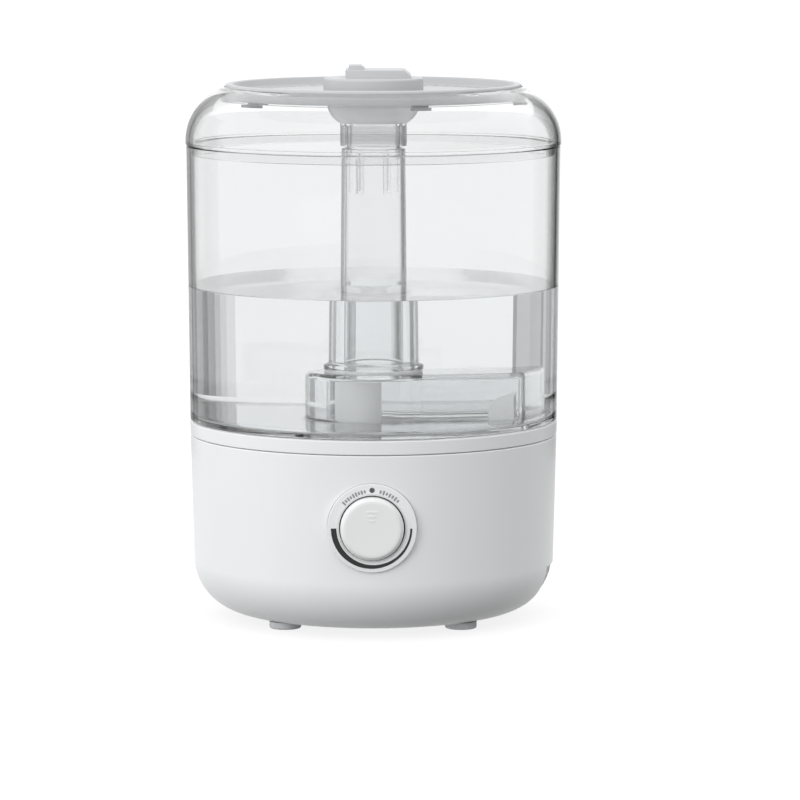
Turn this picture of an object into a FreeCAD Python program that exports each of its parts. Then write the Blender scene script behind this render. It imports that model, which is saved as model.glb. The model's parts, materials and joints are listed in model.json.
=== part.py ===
"""Cool mist humidifier with a clear top-fill tank, as a parametric FreeCAD document.

Frame: the origin is on the floor under the body axis, +Z is up, the control knob faces -Y and
the air intake faces +X. All lengths are in millimetres.
"""

import FreeCAD, Part
import math
import os

import Sketcher

Vector = FreeCAD.Vector

# Driving dimensions. Every name becomes an alias in the sheet called Sizes.
DIMENSIONS = {
    # base shell
    "base_floor": 3.5,
    "base_corner": 26.5,
    "base_corner_top": 30.0,
    "base_waist": 91.4,
    "base_seam_z": 93.3,
    "base_seam_radius": 93.0,
    "base_wall": 2.6,
    "base_hole": 54.0,
    "ledge_inner": 43.0,
    "ledge_outer": 58.0,
    "ledge_floor": 6.4,
    "ledge_top": 9.4,
    # water tray
    "tray_rim_radius": 93.2,
    "tray_rim_top": 100.6,
    "tray_seam_gap": 0.3,
    "tray_well": 87.6,
    "tray_floor": 91.0,
    "tray_wall": 2.4,
    "basin_radius": 42.0,
    "basin_floor": 66.0,
    # tank
    "tank_bottom": 101.0,
    "tank_bottom_radius": 93.2,
    "tank_top": 240.0,
    "tank_top_radius": 94.6,
    "tank_wall": 2.2,
    "tank_floor": 2.4,
    "spigot_radius": 87.0,
    "spigot_bottom": 93.3,
    "housing_radius": 26.0,
    "housing_half_width": 20.0,
    "housing_length": 64.0,
    "housing_corner": 6.0,
    "housing_top": 127.0,
    "housing_wall": 2.0,
    # chimney
    "chimney_top": 238.0,
    "chimney_top_radius": 16.1,
    "chimney_foot_radius": 17.1,
    "chimney_wall": 2.0,
    "chimney_flange": 19.0,
    "chimney_seal": 1.2,
    # lid
    "lid_radius": 95.0,
    "lid_bottom": 240.3,
    "lid_shoulder": 241.8,
    "lid_corner": 28.8,
    "lid_wall": 2.2,
    "lid_skirt_radius": 92.0,
    "lid_skirt_bottom": 235.5,
    "lid_opening": 75.2,
    "cover_radius": 74.8,
    "cover_top": 270.6,
    "cover_band_bottom": 262.8,
    "cover_floor": 266.5,
    "cover_wall": 1.6,
    "cup_top_radius": 23.2,
    "cup_foot_radius": 17.1,
    "cup_foot": 251.6,
    "collar_radius": 16.9,
    "collar_bottom": 239.4,
    "sleeve_radius": 13.5,
    "sleeve_bottom": 215.7,
    # nozzle
    "nozzle_radius": 25.2,
    "nozzle_floor": 266.9,
    "nozzle_plate_top": 273.6,
    "nozzle_bore": 12.4,
    "hood_top": 277.7,
    "hood_left": 14.0,
    "hood_right": 19.0,
    "hood_half_depth": 13.5,
    "grip_top": 280.0,
    # control
    "knob_height": 57.5,
    "ring_radius": 22.1,
    "ring_face": 93.0,
    "ring_back": 84.0,
    "knob_radius": 15.6,
    "knob_face": 97.4,
    "knob_back": 89.2,
    "shaft_radius": 3.0,
    # intake
    "intake_low": 8.0,
    "intake_high": 28.0,
    "intake_half_angle": 16.2,
    "grille_half_angle": 13.4,
    "grille_gap": 3.0,
    "grille_step": 0.9,
    "grille_wall": 1.8,
    # mist parts
    "mist_x": -8.0,
    "guide_radius": 12.0,
    "guide_top": 123.0,
    "guide_wall": 1.6,
    "hood_x": 51.0,
    "air_hood_half_length": 6.0,
    "air_hood_half_width": 9.0,
    "air_hood_height": 24.0,
    "fan_x": 58.0,
    "fan_bottom": 38.0,
    "fan_size": 40.0,
    "fan_height": 12.0,
    "fan_bore": 18.3,
    "rotor_radius": 17.6,
    # valve
    "valve_x": -9.0,
    "valve_y": 48.0,
    "valve_hole": 9.0,
    "foot_spacing": 44.0,
    "foot_radius": 8.0,
}

COUNTS = {"clips": 5, "slots": 60, "blades": 7, "louvres": 5}


class Size:
    """A length together with the expression that gives it from the sheet."""

    def __init__(self, value, text):
        self.value = float(value)
        self.text = text

    @staticmethod
    def of(other):
        """Return a number or a size as a size."""
        return other if isinstance(other, Size) else Size(other, repr(round(float(other), 6)))

    def __add__(self, other):
        other = Size.of(other)
        return Size(self.value + other.value, f"({self.text} + {other.text})")

    def __radd__(self, other):
        return Size.of(other) + self

    def __sub__(self, other):
        other = Size.of(other)
        return Size(self.value - other.value, f"({self.text} - {other.text})")

    def __rsub__(self, other):
        return Size.of(other) - self

    def __mul__(self, factor):
        return Size(self.value * factor, f"({self.text} * {factor})")

    __rmul__ = __mul__

    def __neg__(self):
        return self * -1

    def over(self, divisor):
        """Return this size divided by a plain number."""
        return Size(self.value / divisor, f"({self.text} / {divisor})")


class Sizes:
    """The sheet of driving dimensions; each attribute is one size."""

    def __init__(self, doc, dimensions):
        self.sheet = doc.addObject("Spreadsheet::Sheet", "Sizes")
        for row, (name, value) in enumerate(dimensions.items(), 1):
            self.sheet.set(f"A{row}", name)
            self.sheet.set(f"B{row}", str(value))
            self.sheet.setAlias(f"B{row}", name)
        doc.recompute()

    def __getattr__(self, name):
        return Size(getattr(self.sheet, name), f"Sizes.{name}")


doc = FreeCAD.newDocument("humidifier")
z = Sizes(doc, DIMENSIONS)
nodes = []


def node(obj, label):
    """Name an object as a piece of the humidifier and keep it for export."""
    obj.Label = label
    nodes.append(obj)
    return obj


def new_body(label):
    """Make a body for one piece."""
    return node(doc.addObject("PartDesign::Body", "Body_" + label), label)


def origin_plane(body, role):
    """Return an origin plane of a body, such as XY_Plane."""
    return next(item for item in body.Origin.OriginFeatures if item.Role == role)


def new_sketch(body, name, role="XY_Plane", height=None):
    """Make a sketch on an origin plane, moved along its normal by height."""
    sketch = body.newObject("Sketcher::SketchObject", name)
    sketch.AttachmentSupport = (origin_plane(body, role), "")
    sketch.MapMode = "FlatFace"
    if height is not None:
        sketch.setExpression("AttachmentOffset.Base.z", Size.of(height).text)
    return sketch


def arc_geometry(start, end, radius):
    """Return an arc from start to end; a positive radius turns left, a negative one right."""
    chord = end - start
    rise = math.sqrt(max(radius * radius - chord.Length ** 2 / 4, 0.0))
    normal = Vector(-chord.y, chord.x, 0) / chord.Length
    centre = (start + end) * 0.5 + normal * (rise if radius > 0 else -rise)
    first, last = (start, end) if radius > 0 else (end, start)
    begin = math.atan2(first.y - centre.y, first.x - centre.x)
    finish = math.atan2(last.y - centre.y, last.x - centre.x)
    circle = Part.Circle(centre, Vector(0, 0, 1), abs(radius))
    return Part.ArcOfCircle(circle, begin, finish)


def pin_point(sketch, index, end, point):
    """Fix one end of an edge at a point whose coordinates are sizes."""
    for kind, axis, size in (("DistanceX", -2, point[0]), ("DistanceY", -1, point[1])):
        size = Size.of(size)
        if abs(size.value) < 1e-9:
            sketch.addConstraint(Sketcher.Constraint("PointOnObject", index, end, axis))
            continue
        row = sketch.addConstraint(Sketcher.Constraint(kind, index, end, size.value))
        sketch.setExpression(f"Constraints[{row}]", size.text)


def outline(sketch, points):
    """Draw a closed outline. A point is (x, y), or (x, y, radius) when an arc leaves it."""
    places = [Vector(Size.of(p[0]).value, Size.of(p[1]).value, 0) for p in points]
    first_index = sketch.GeometryCount
    ends = []
    for index, point in enumerate(points):
        start = places[index]
        end = places[(index + 1) % len(points)]
        if len(point) > 2:
            radius = Size.of(point[2]).value
            sketch.addGeometry(arc_geometry(start, end, radius), False)
            ends.append((1, 2) if radius > 0 else (2, 1))
        else:
            sketch.addGeometry(Part.LineSegment(start, end), False)
            ends.append((1, 2))
    for index in range(len(points)):
        follower = (index + 1) % len(points)
        link = (first_index + index, ends[index][1], first_index + follower, ends[follower][0])
        sketch.addConstraint(Sketcher.Constraint("Coincident", *link))
    for index, point in enumerate(points):
        pin_point(sketch, first_index + index, ends[index][0], point)
        if len(point) > 2:
            radius = Size.of(point[2])
            size = radius if radius.value > 0 else -radius
            limit = Sketcher.Constraint("Radius", first_index + index, size.value)
            sketch.setExpression(f"Constraints[{sketch.addConstraint(limit)}]", size.text)


def circle(sketch, x, y, radius):
    """Draw a circle whose centre and radius are sizes."""
    centre = Vector(Size.of(x).value, Size.of(y).value, 0)
    radius = Size.of(radius)
    index = sketch.addGeometry(Part.Circle(centre, Vector(0, 0, 1), radius.value), False)
    pin_point(sketch, index, 3, (x, y))
    limit = Sketcher.Constraint("Radius", index, radius.value)
    sketch.setExpression(f"Constraints[{sketch.addConstraint(limit)}]", radius.text)


def rectangle(sketch, left, bottom, right, top):
    """Draw a rectangle between two corners."""
    outline(sketch, [(left, bottom), (right, bottom), (right, top), (left, top)])


def revolve(body, points, angle=360.0, cut=False, name="Turned"):
    """Turn an outline of (radius, height) points about the vertical axis."""
    sketch = new_sketch(body, name + "_sketch", "XZ_Plane")
    outline(sketch, points)
    kind = "PartDesign::Groove" if cut else "PartDesign::Revolution"
    feature = body.newObject(kind, name)
    feature.Profile = sketch
    feature.ReferenceAxis = (sketch, ["V_Axis"])
    feature.Angle = angle
    feature.Midplane = angle < 360.0
    return feature


def pad(body, draw, low, high, name="Pad", cut=False, role="XY_Plane", reverse=False):
    """Pad or pocket what draw(sketch) draws, from low to high along the plane's normal."""
    sketch = new_sketch(body, name + "_sketch", role, low)
    draw(sketch)
    kind = "PartDesign::Pocket" if cut else "PartDesign::Pad"
    feature = body.newObject(kind, name)
    feature.Profile = sketch
    span = Size.of(high) - low
    feature.Length = span.value
    feature.setExpression("Length", span.text)
    feature.Reversed = cut != reverse
    return feature


def repeat(body, feature, count, name="Pattern"):
    """Repeat a feature evenly around the vertical axis."""
    pattern = body.newObject("PartDesign::PolarPattern", name)
    pattern.Originals = [feature]
    vertical = next(item for item in body.Origin.OriginFeatures if item.Role == "Z_Axis")
    pattern.Axis = (vertical, [""])
    pattern.Angle = 360.0
    pattern.Occurrences = count
    body.Tip = pattern
    return pattern


def move(obj, x=0, y=0, height=0):
    """Place a piece at a point whose coordinates are sizes."""
    for axis, size in (("x", x), ("y", y), ("z", height)):
        obj.setExpression(f"Placement.Base.{axis}", Size.of(size).text)
    return obj


def turn_forward(obj, height):
    """Lay a piece made about the vertical axis down, so that its +Z faces the front."""
    obj.Placement = FreeCAD.Placement(Vector(0, 0, 0), FreeCAD.Rotation(Vector(1, 0, 0), 90))
    obj.setExpression("Placement.Base.z", Size.of(height).text)
    return obj


def ring(label, inner, outer, low, high):
    """Make a plain ring or, with no inner radius, a disc."""
    body = new_body(label)
    points = [(inner, low), (outer, low), (outer, high), (inner, high)]
    revolve(body, points)
    return body


# ---- base ----------------------------------------------------------------------------------


def base_shell():
    """White outer shell with a large rounded lower corner and a ledge for the bottom cover."""
    body = new_body("base_shell")
    flat = z.base_waist - z.base_corner
    inner = z.base_corner - z.base_wall
    revolve(body, [
        (z.base_hole, z.base_floor),
        (flat, z.base_floor, z.base_corner),
        (z.base_waist, z.base_corner_top),
        (z.base_seam_radius, z.base_seam_z),
        (z.base_seam_radius - z.base_wall, z.base_seam_z),
        (z.base_waist - z.base_wall, z.base_corner_top, -inner),
        (flat, z.base_floor + z.base_wall),
        (z.ledge_outer, z.base_floor + z.base_wall),
        (z.ledge_outer, z.ledge_top),
        (z.ledge_inner, z.ledge_top),
        (z.ledge_inner, z.ledge_floor),
        (z.base_hole, z.ledge_floor),
    ], name="Shell")
    control = lambda sketch: circle(sketch, 0, z.knob_height, z.ring_radius + 0.15)
    pad(body, control, 60, 100, "ControlHole", cut=True, role="XZ_Plane")
    inlet = lambda sketch: circle(sketch, 0, 38, 5.4)
    pad(body, inlet, -100, -60, "InletHole", cut=True, role="XZ_Plane")
    pad(body, intake_sector, z.intake_low, z.intake_high, "Intake", cut=True)
    return body


def slant(name):
    """Give the sideways distance that an angle from +X reaches at x = 100."""
    value = 100 * math.tan(math.radians(DIMENSIONS[name]))
    return Size(value, f"(100 * tan(Sizes.{name} * 1 deg))")


def intake_sector(sketch):
    """Draw the wedge of the intake window, symmetric about +X."""
    side = slant("intake_half_angle")
    outline(sketch, [(60, side * -0.6), (100, -side), (100, side), (60, side * 0.6)])


def intake_slits(sketch):
    """Draw the two wedges between the window's edges and the raised face of the grille."""
    near = slant("grille_half_angle")
    far = slant("intake_half_angle")
    outline(sketch, [(60, near * 0.6), (100, near), (100, far), (60, far * 0.6)])
    outline(sketch, [(60, far * -0.6), (100, -far), (100, -near), (60, near * -0.6)])


def corner_point(radius, height):
    """Give the distance from the axis of a circle about the base's corner centre."""
    drop = DIMENSIONS["base_corner_top"] - height
    value = math.sqrt(radius.value ** 2 - drop ** 2)
    text = f"sqrt({radius.text} ^ 2 - (Sizes.base_corner_top - {height}) ^ 2)"
    return Size(value, text) + z.base_waist - z.base_corner


def air_grille():
    """Panel behind the intake window: a raised louvred face with an open slit at each side."""
    body = new_body("air_grille")
    outer = z.base_corner - z.grille_gap
    inner = outer - z.grille_wall
    back = outer - 0.2
    face = z.base_corner - z.grille_step
    centre = z.base_waist - z.base_corner
    low, high = 8.4, 27.6
    revolve(body, [
        (corner_point(outer, 9.2), 9.2, outer),
        (centre + outer, z.base_corner_top),
        (centre + inner, z.base_corner_top, -inner),
        (corner_point(inner, 11.3), 11.3),
    ], angle=46.0, name="Panel")
    revolve(body, [
        (corner_point(face, low), low, face),
        (corner_point(face, high), high),
        (corner_point(back, high), high, -back),
        (corner_point(back, low), low),
    ], angle=2 * DIMENSIONS["grille_half_angle"], name="Face")
    pad(body, intake_slits, low, high, "Slits", cut=True)
    step = (high - low) / (COUNTS["louvres"] + 1)
    for row in range(COUNTS["louvres"]):
        height = low + step * (row + 0.8)
        louvre = lambda sketch: rectangle(sketch, 60, -16, 100, 16)
        pad(body, louvre, height, height + 1.4, f"Louvre{row}", cut=True)
    return body


def bottom_cover():
    """Round plate that closes the base, with four screw holes."""
    body = new_body("bottom_cover")
    revolve(body, [(0, 3.7), (53.6, 3.7), (53.6, 6.2), (0, 6.2)], name="Plate")
    for index in range(4):
        angle = math.radians(90 * index)
        hole = lambda sketch: circle(sketch, 48.5 * math.cos(angle), 48.5 * math.sin(angle), 1.8)
        pad(body, hole, 3, 7, f"ScrewHole{index}", cut=True)
    return body


def base_fasteners():
    """Rubber feet and the screws that hold the bottom cover."""
    for index in range(4):
        side_x = 1 if index in (0, 3) else -1
        side_y = 1 if index in (0, 1) else -1
        foot = new_body(f"rubber_foot_{index + 1}")
        revolve(foot, [
            (0, 0),
            (z.foot_radius - 1, 0, 1.0),
            (z.foot_radius, 1.0),
            (z.foot_radius, z.base_floor),
            (0, z.base_floor),
        ], name="Foot")
        move(foot, z.foot_spacing * side_x, z.foot_spacing * side_y)
    for index in range(4):
        angle = math.radians(90 * index)
        screw = new_body(f"case_screw_{index + 1}")
        revolve(screw, [(0, 2.6), (3, 2.6), (3, 3.7), (1.7, 3.7), (1.7, 6.35), (0, 6.35)],
                name="Screw")
        move(screw, 48.5 * math.cos(angle), 48.5 * math.sin(angle))


def water_tray():
    """White tray that closes the base: rim, well for the tank spigot and mist basin."""
    body = new_body("water_tray")
    seam = z.base_seam_z + z.tray_seam_gap
    skirt = z.base_seam_radius - z.base_wall - 0.4
    under = z.tray_floor - z.tray_wall
    below = z.basin_floor - z.tray_wall
    outside = z.basin_radius + z.tray_wall
    revolve(body, [
        (0, below),
        (outside, below),
        (outside, under),
        (skirt, under),
        (skirt, seam),
        (z.base_seam_radius, seam),
        (z.tray_rim_radius, z.tray_rim_top),
        (z.tray_well, z.tray_rim_top),
        (z.tray_well, z.tray_floor),
        (z.basin_radius, z.tray_floor),
        (z.basin_radius, z.basin_floor),
        (0, z.basin_floor),
    ], name="Tray")
    hole = lambda sketch: circle(sketch, z.mist_x, 0, 9.0)
    pad(body, hole, 60, 70, "MistHole", cut=True)
    duct = lambda sketch: rectangle(sketch, z.hood_x - 4.4, -7.4, z.hood_x + 4.4, 7.4)
    pad(body, duct, 85, 95, "AirHole", cut=True)
    return body


def mist_guide():
    """White tube that stands over the transducer, with arches that let the water in."""
    body = new_body("mist_guide")
    inner = z.guide_radius - z.guide_wall
    revolve(body, [
        (inner, z.basin_floor),
        (z.guide_radius, z.basin_floor),
        (z.guide_radius, z.guide_top),
        (inner, z.guide_top),
    ], name="Tube")
    arch = lambda sketch: rectangle(sketch, 6, -3.5, 16, 3.5)
    slot = pad(body, arch, 60, z.basin_floor + 8, "Arch", cut=True)
    doc.recompute()
    repeat(body, slot, 3)
    return move(body, z.mist_x)


def air_hood():
    """Quarter-round hood over the air hole; its mouth faces away from the mist."""
    body = new_body("air_hood")
    half = z.air_hood_half_length
    side = z.air_hood_half_width
    top = z.air_hood_height
    bend = 9.0

    shell = lambda sketch: outline(sketch, [
        (-half, 0),
        (half, 0),
        (half, top),
        (-half + bend, top, bend),
        (-half, top - bend),
    ])
    pad(body, shell, -side, side, "Shell", role="XZ_Plane")
    cavity = lambda sketch: outline(sketch, [
        (-half + 1.5, -1),
        (half - 1.5, -1),
        (half - 1.5, 8.0),
        (half + 4, 8.0),
        (half + 4, top - 1.5),
        (-half + bend, top - 1.5, bend - 1.5),
        (-half + 1.5, top - bend),
    ])
    pad(body, cavity, -side + 1.5, side - 1.5, "Cavity", cut=True, role="XZ_Plane")
    return move(body, z.hood_x, 0, z.tray_floor)


def transducer_set():
    """Ultrasonic disc with its gasket and holder under the basin."""
    top = z.basin_floor - z.tray_wall
    holder = new_body("transducer_holder")
    revolve(holder, [
        (9, top - 6.5),
        (16, top - 6.5),
        (16, top),
        (12.3, top),
        (12.3, top - 2.8),
        (9, top - 2.8),
    ], name="Cup")
    move(holder, z.mist_x)
    move(ring("transducer_disc", 0, 12.0, top - 2.8, top - 2.0), z.mist_x)
    move(ring("transducer_gasket", 9.2, 12.0, top - 2.0, top), z.mist_x)


def float_set():
    """Water level float on its post, with its magnet."""
    post = new_body("float_post")
    revolve(post, [(0, 66), (2.4, 66), (2.4, 89), (3.6, 89), (3.6, 90.5), (0, 90.5)], name="Post")
    move(post, 22, 22)
    float_body = new_body("level_float")
    revolve(float_body, [
        (2.9, 67.0), (8.0, 67.0), (8.0, 76.0), (6.6, 76.0), (6.6, 72.0), (4.4, 72.0),
        (4.4, 76.0), (2.9, 76.0),
    ], name="Float")
    move(float_body, 22, 22)
    move(ring("float_magnet", 4.4, 6.6, 72.0, 75.4), 22, 22)


def fan_set():
    """Fan housing, its rotor, the duct up to the tray and the filter pad."""
    half = z.fan_size.over(2)
    top = z.fan_bottom + z.fan_height
    housing = new_body("fan_housing")
    square = lambda sketch: rectangle(sketch, -half, -half, half, half)
    pad(housing, square, z.fan_bottom, top, "Frame")
    bore = lambda sketch: circle(sketch, 0, 0, z.fan_bore)
    pad(housing, bore, z.fan_bottom + 1.4, top + 1, "Bore", cut=True)
    eye = lambda sketch: circle(sketch, 0, 0, 14)
    pad(housing, eye, z.fan_bottom - 1, z.fan_bottom + 2, "Eye", cut=True)
    spoke = lambda sketch: rectangle(sketch, 2.0, -1.2, 16, 1.2)
    arm = pad(housing, spoke, z.fan_bottom, z.fan_bottom + 1.4, "Spoke")
    doc.recompute()
    repeat(housing, arm, 3)
    pin = lambda sketch: circle(sketch, 0, 0, 3.2)
    pad(housing, pin, z.fan_bottom, z.fan_bottom + 1.4, "Bearing")
    axle = lambda sketch: circle(sketch, 0, 0, 1.2)
    pad(housing, axle, z.fan_bottom + 0.6, z.fan_bottom + 7, "Axle")
    move(housing, z.fan_x)

    rotor = new_body("fan_rotor")
    low = z.fan_bottom + 2.4
    revolve(rotor, [(1.26, low), (7, low), (7, low + 7.6), (0, low + 7.6), (0, low + 5.2),
                    (1.26, low + 5.2)], name="Hub")
    blade = lambda sketch: outline(sketch, [
        (6.0, -1.2), (z.rotor_radius - 0.6, 2.6), (z.rotor_radius - 0.9, 3.9), (6.0, 0.4)])
    vane = pad(rotor, blade, low + 0.6, low + 7.0, "Vane")
    doc.recompute()
    repeat(rotor, vane, COUNTS["blades"])
    move(rotor, z.fan_x)

    duct = new_body("air_duct")
    under = z.tray_floor - z.tray_wall
    outer = lambda sketch: rectangle(sketch, 45.6, -13, 70, 13)
    pad(duct, outer, top + 0.1, under - 0.1, "Outside")
    inner = lambda sketch: rectangle(sketch, 47.2, -11.4, 68.4, 11.4)
    pad(duct, inner, top, under, "Inside", cut=True)

    pad_body = new_body("air_filter")
    slab = lambda sketch: rectangle(sketch, 66.0, -22, 69.0, 22)
    pad(pad_body, slab, 10.0, 30.0, "Slab")


def valve_pin():
    """Pin on the tray under the tank valve."""
    body = new_body("valve_pin")
    revolve(body, [(0, 91), (4, 91), (4, 92), (1.6, 92.6), (1.6, 94.0), (0, 94.0)], name="Pin")
    return move(body, z.valve_x, z.valve_y)


def power_inlet():
    """Low voltage socket in the back wall, with its contact pin."""
    barrel = new_body("power_socket")
    revolve(barrel, [
        (0, 75), (5.2, 75), (5.2, 86.2), (5.2, 91.2), (3.0, 91.2), (3.0, 79), (0, 79)],
        name="Barrel")
    barrel.Placement = FreeCAD.Placement(Vector(0, 0, 38), FreeCAD.Rotation(Vector(1, 0, 0), -90))
    contact = ring("socket_pin", 0, 1.0, 79, 89.5)
    contact.Placement = FreeCAD.Placement(Vector(0, 0, 38), FreeCAD.Rotation(Vector(1, 0, 0), -90))


def circuit_boards():
    """Driver board on standoffs over the bottom cover, and the control board in front."""
    board = new_body("driver_board")
    plate = lambda sketch: rectangle(sketch, -32, -32, 32, 32)
    pad(board, plate, 12, 13.6, "Board")
    sink = lambda sketch: rectangle(sketch, -10, 6, 18, 16)
    pad(board, sink, 13.6, 30, "HeatSink")
    can = lambda sketch: circle(sketch, -20, -12, 5)
    pad(board, can, 13.6, 27, "Capacitor")
    coil = lambda sketch: rectangle(sketch, 4, -24, 18, -12)
    pad(board, coil, 13.6, 24, "Coil")
    for index in range(4):
        side_x = 1 if index in (0, 3) else -1
        side_y = 1 if index in (0, 1) else -1
        standoff = ring(f"board_standoff_{index + 1}", 0, 3, 6.2, 12)
        move(standoff, 27 * side_x, 27 * side_y)
    control = new_body("control_board")
    face = lambda sketch: rectangle(sketch, -24, z.knob_height - 24, 24, z.knob_height + 26)
    pad(control, face, 70.0, 71.6, "Board", role="XZ_Plane")


# ---- control -------------------------------------------------------------------------------


def mark_outline(sketch):
    """Draw the tapered level mark: a crescent from nine o'clock through six to three."""
    outer = 19.95
    inner = 18.1
    outer_x = -0.25
    inner_x = 0.6
    outline(sketch, [
        (outer_x - outer, 0, outer),
        (outer_x, -outer, outer),
        (outer_x + outer, 0),
        (inner_x + inner, 0, -inner),
        (inner_x, -inner, -inner),
        (inner_x - inner, 0),
    ])


def control_panel():
    """Round ring around the knob with its level mark, indicator window and light."""
    body = new_body("control_ring")
    revolve(body, [
        (16.2, z.ring_back + 2.0),
        (z.ring_radius + 2.4, z.ring_back),
        (z.ring_radius + 2.4, z.ring_back + 1.2),
        (z.ring_radius, z.ring_back + 1.8),
        (z.ring_radius, z.ring_face - 0.6, 0.6),
        (z.ring_radius - 0.6, z.ring_face),
        (17.1, z.ring_face),
        (16.2, z.ring_face - 0.6),
    ], name="Ring")
    mark = mark_outline
    pad(body, mark, z.ring_face - 0.6, z.ring_face + 1, "MarkRecess", cut=True)
    window = lambda sketch: circle(sketch, 0, 18.9, 1.3)
    pad(body, window, z.ring_back - 1, z.ring_face + 1, "WindowHole", cut=True)
    turn_forward(body, z.knob_height)

    inlay = new_body("level_mark")
    pad(inlay, mark, z.ring_face - 0.6, z.ring_face + 0.1, "Inlay")
    turn_forward(inlay, z.knob_height)

    pane = new_body("indicator_window")
    pad(pane, window, z.ring_back + 4, z.ring_face + 0.1, "Pane")
    turn_forward(pane, z.knob_height)

    lamp = new_body("indicator_light")
    bulb = lambda sketch: circle(sketch, 0, 18.9, 1.2)
    pad(lamp, bulb, 71.6, z.ring_back + 3.8, "Lamp")
    turn_forward(lamp, z.knob_height)


def control_knob():
    """Knob with a bevelled edge, its shaft and the potentiometer that it turns."""
    body = new_body("knob")
    revolve(body, [
        (z.shaft_radius, z.knob_back),
        (14.2, z.knob_back),
        (z.knob_radius, z.knob_back + 1.4),
        (z.knob_radius, z.knob_face - 1.6),
        (z.knob_radius - 1.4, z.knob_face),
        (0, z.knob_face),
        (0, z.knob_face - 2.4),
        (z.shaft_radius, z.knob_face - 2.4),
    ], name="Knob")
    for row, half in enumerate((2.7, 2.0, 1.4)):
        low = 8.2 - 2.2 * row
        stroke = lambda sketch: rectangle(sketch, -half, low, half, low + 0.9)
        pad(body, stroke, z.knob_face - 0.4, z.knob_face + 0.4, f"Stroke{row}")
    turn_forward(body, z.knob_height)
    shaft = ring("knob_shaft", 0, z.shaft_radius, 80.0, z.knob_face - 2.4)
    turn_forward(shaft, z.knob_height)
    case = new_body("potentiometer")
    revolve(case, [(0, 71.6), (8.5, 71.6), (8.5, 80.5), (5.0, 80.5), (5.0, 84.0), (3.05, 84.0),
                   (3.05, 79.6), (0, 79.6)], name="Case")
    turn_forward(case, z.knob_height)


# ---- tank ----------------------------------------------------------------------------------


def housing_outline(sketch, inset):
    """Draw the keyhole of the air housing: a round end about the axis and a channel to +X."""
    radius = z.housing_radius - inset
    side = z.housing_half_width - inset
    corner = z.housing_corner - inset
    end = z.housing_length - inset
    meet_value = math.sqrt(radius.value ** 2 - side.value ** 2)
    meet = Size(meet_value, f"sqrt({radius.text} ^ 2 - {side.text} ^ 2)")
    outline(sketch, [
        (meet, -side),
        (end - corner, -side, corner),
        (end, -side + corner),
        (end, side - corner, corner),
        (end - corner, side),
        (meet, side, radius),
        (-radius, 0, radius),
    ])


def tank_wall():
    """Clear drafted wall of the tank, open at both ends."""
    body = new_body("tank_wall")
    inner = z.tank_bottom_radius - z.tank_wall
    revolve(body, [
        (inner, z.tank_bottom),
        (z.tank_bottom_radius, z.tank_bottom),
        (z.tank_top_radius, z.tank_top),
        (z.tank_top_radius - z.tank_wall, z.tank_top),
    ], name="Wall")
    return body


def tank_floor():
    """Clear floor bonded into the wall, with the spigot ring and the raised air housing."""
    body = new_body("tank_floor")
    top = z.tank_bottom + z.tank_floor
    edge = z.tank_bottom_radius - z.tank_wall
    inner = z.spigot_radius - z.tank_floor
    revolve(body, [
        (0, z.tank_bottom),
        (inner, z.tank_bottom),
        (inner, z.spigot_bottom),
        (z.spigot_radius, z.spigot_bottom),
        (z.spigot_radius, z.tank_bottom),
        (edge, z.tank_bottom),
        (edge, top),
        (0, top),
    ], name="Floor")
    outer = lambda sketch: housing_outline(sketch, 0.0)
    pad(body, outer, z.tank_bottom, z.housing_top, "Housing")
    channel = lambda sketch: housing_outline(sketch, DIMENSIONS["housing_wall"])
    pad(body, channel, z.tank_bottom - 1, z.housing_top - z.housing_wall, "Channel", cut=True)
    mouth = lambda sketch: circle(sketch, 0, 0, z.chimney_foot_radius - z.chimney_wall)
    pad(body, mouth, z.housing_top - 5, z.housing_top + 5, "Mouth", cut=True)
    drain = lambda sketch: circle(sketch, z.valve_x, z.valve_y, z.valve_hole)
    pad(body, drain, z.tank_bottom - 1, z.tank_bottom + 5, "Drain", cut=True)
    return body


def chimney_set():
    """Clear chimney with a foot flange, standing on a seal on the housing roof."""
    inner = z.chimney_foot_radius - z.chimney_wall
    seat = z.housing_top + z.chimney_seal
    ring("chimney_seal", inner, z.chimney_flange - 0.3, z.housing_top, seat)
    body = new_body("chimney")
    revolve(body, [
        (inner, seat),
        (z.chimney_flange, seat),
        (z.chimney_flange, seat + 2.6),
        (z.chimney_foot_radius, seat + 3.4),
        (z.chimney_top_radius, z.chimney_top),
        (z.chimney_top_radius - z.chimney_wall, z.chimney_top),
    ], name="Tube")
    return body


def tank_valve():
    """Valve in the tank floor: cage, sprung plunger and rubber seal."""
    cage = new_body("valve_cage")
    revolve(cage, [
        (5.0, 98.6), (12.5, 98.6), (12.5, 101.0), (8.9, 101.0), (8.9, 105.0), (5.0, 105.0)],
        name="Seat")
    post = lambda sketch: rectangle(sketch, 7.2, -1.3, 8.8, 1.3)
    rib = pad(cage, post, 104.5, 118.0, "Rib")
    doc.recompute()
    repeat(cage, rib, 3)
    roof = lambda sketch: (circle(sketch, 0, 0, 8.9), circle(sketch, 0, 0, 1.9))
    pad(cage, roof, 116.4, 118.0, "Roof")
    move(cage, z.valve_x, z.valve_y)

    plunger = new_body("valve_plunger")
    revolve(plunger, [
        (0, 94.3), (1.5, 94.3), (1.5, 106.5), (6.0, 106.5), (6.0, 108.0), (1.5, 108.0),
        (1.5, 119.0), (0, 119.0)], name="Stem")
    move(plunger, z.valve_x, z.valve_y)
    move(ring("valve_seal", 1.5, 6.6, 105.1, 106.5), z.valve_x, z.valve_y)
    move(ring("valve_spring", 3.0, 4.4, 108.0, 116.4), z.valve_x, z.valve_y)


# ---- lid -----------------------------------------------------------------------------------


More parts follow.
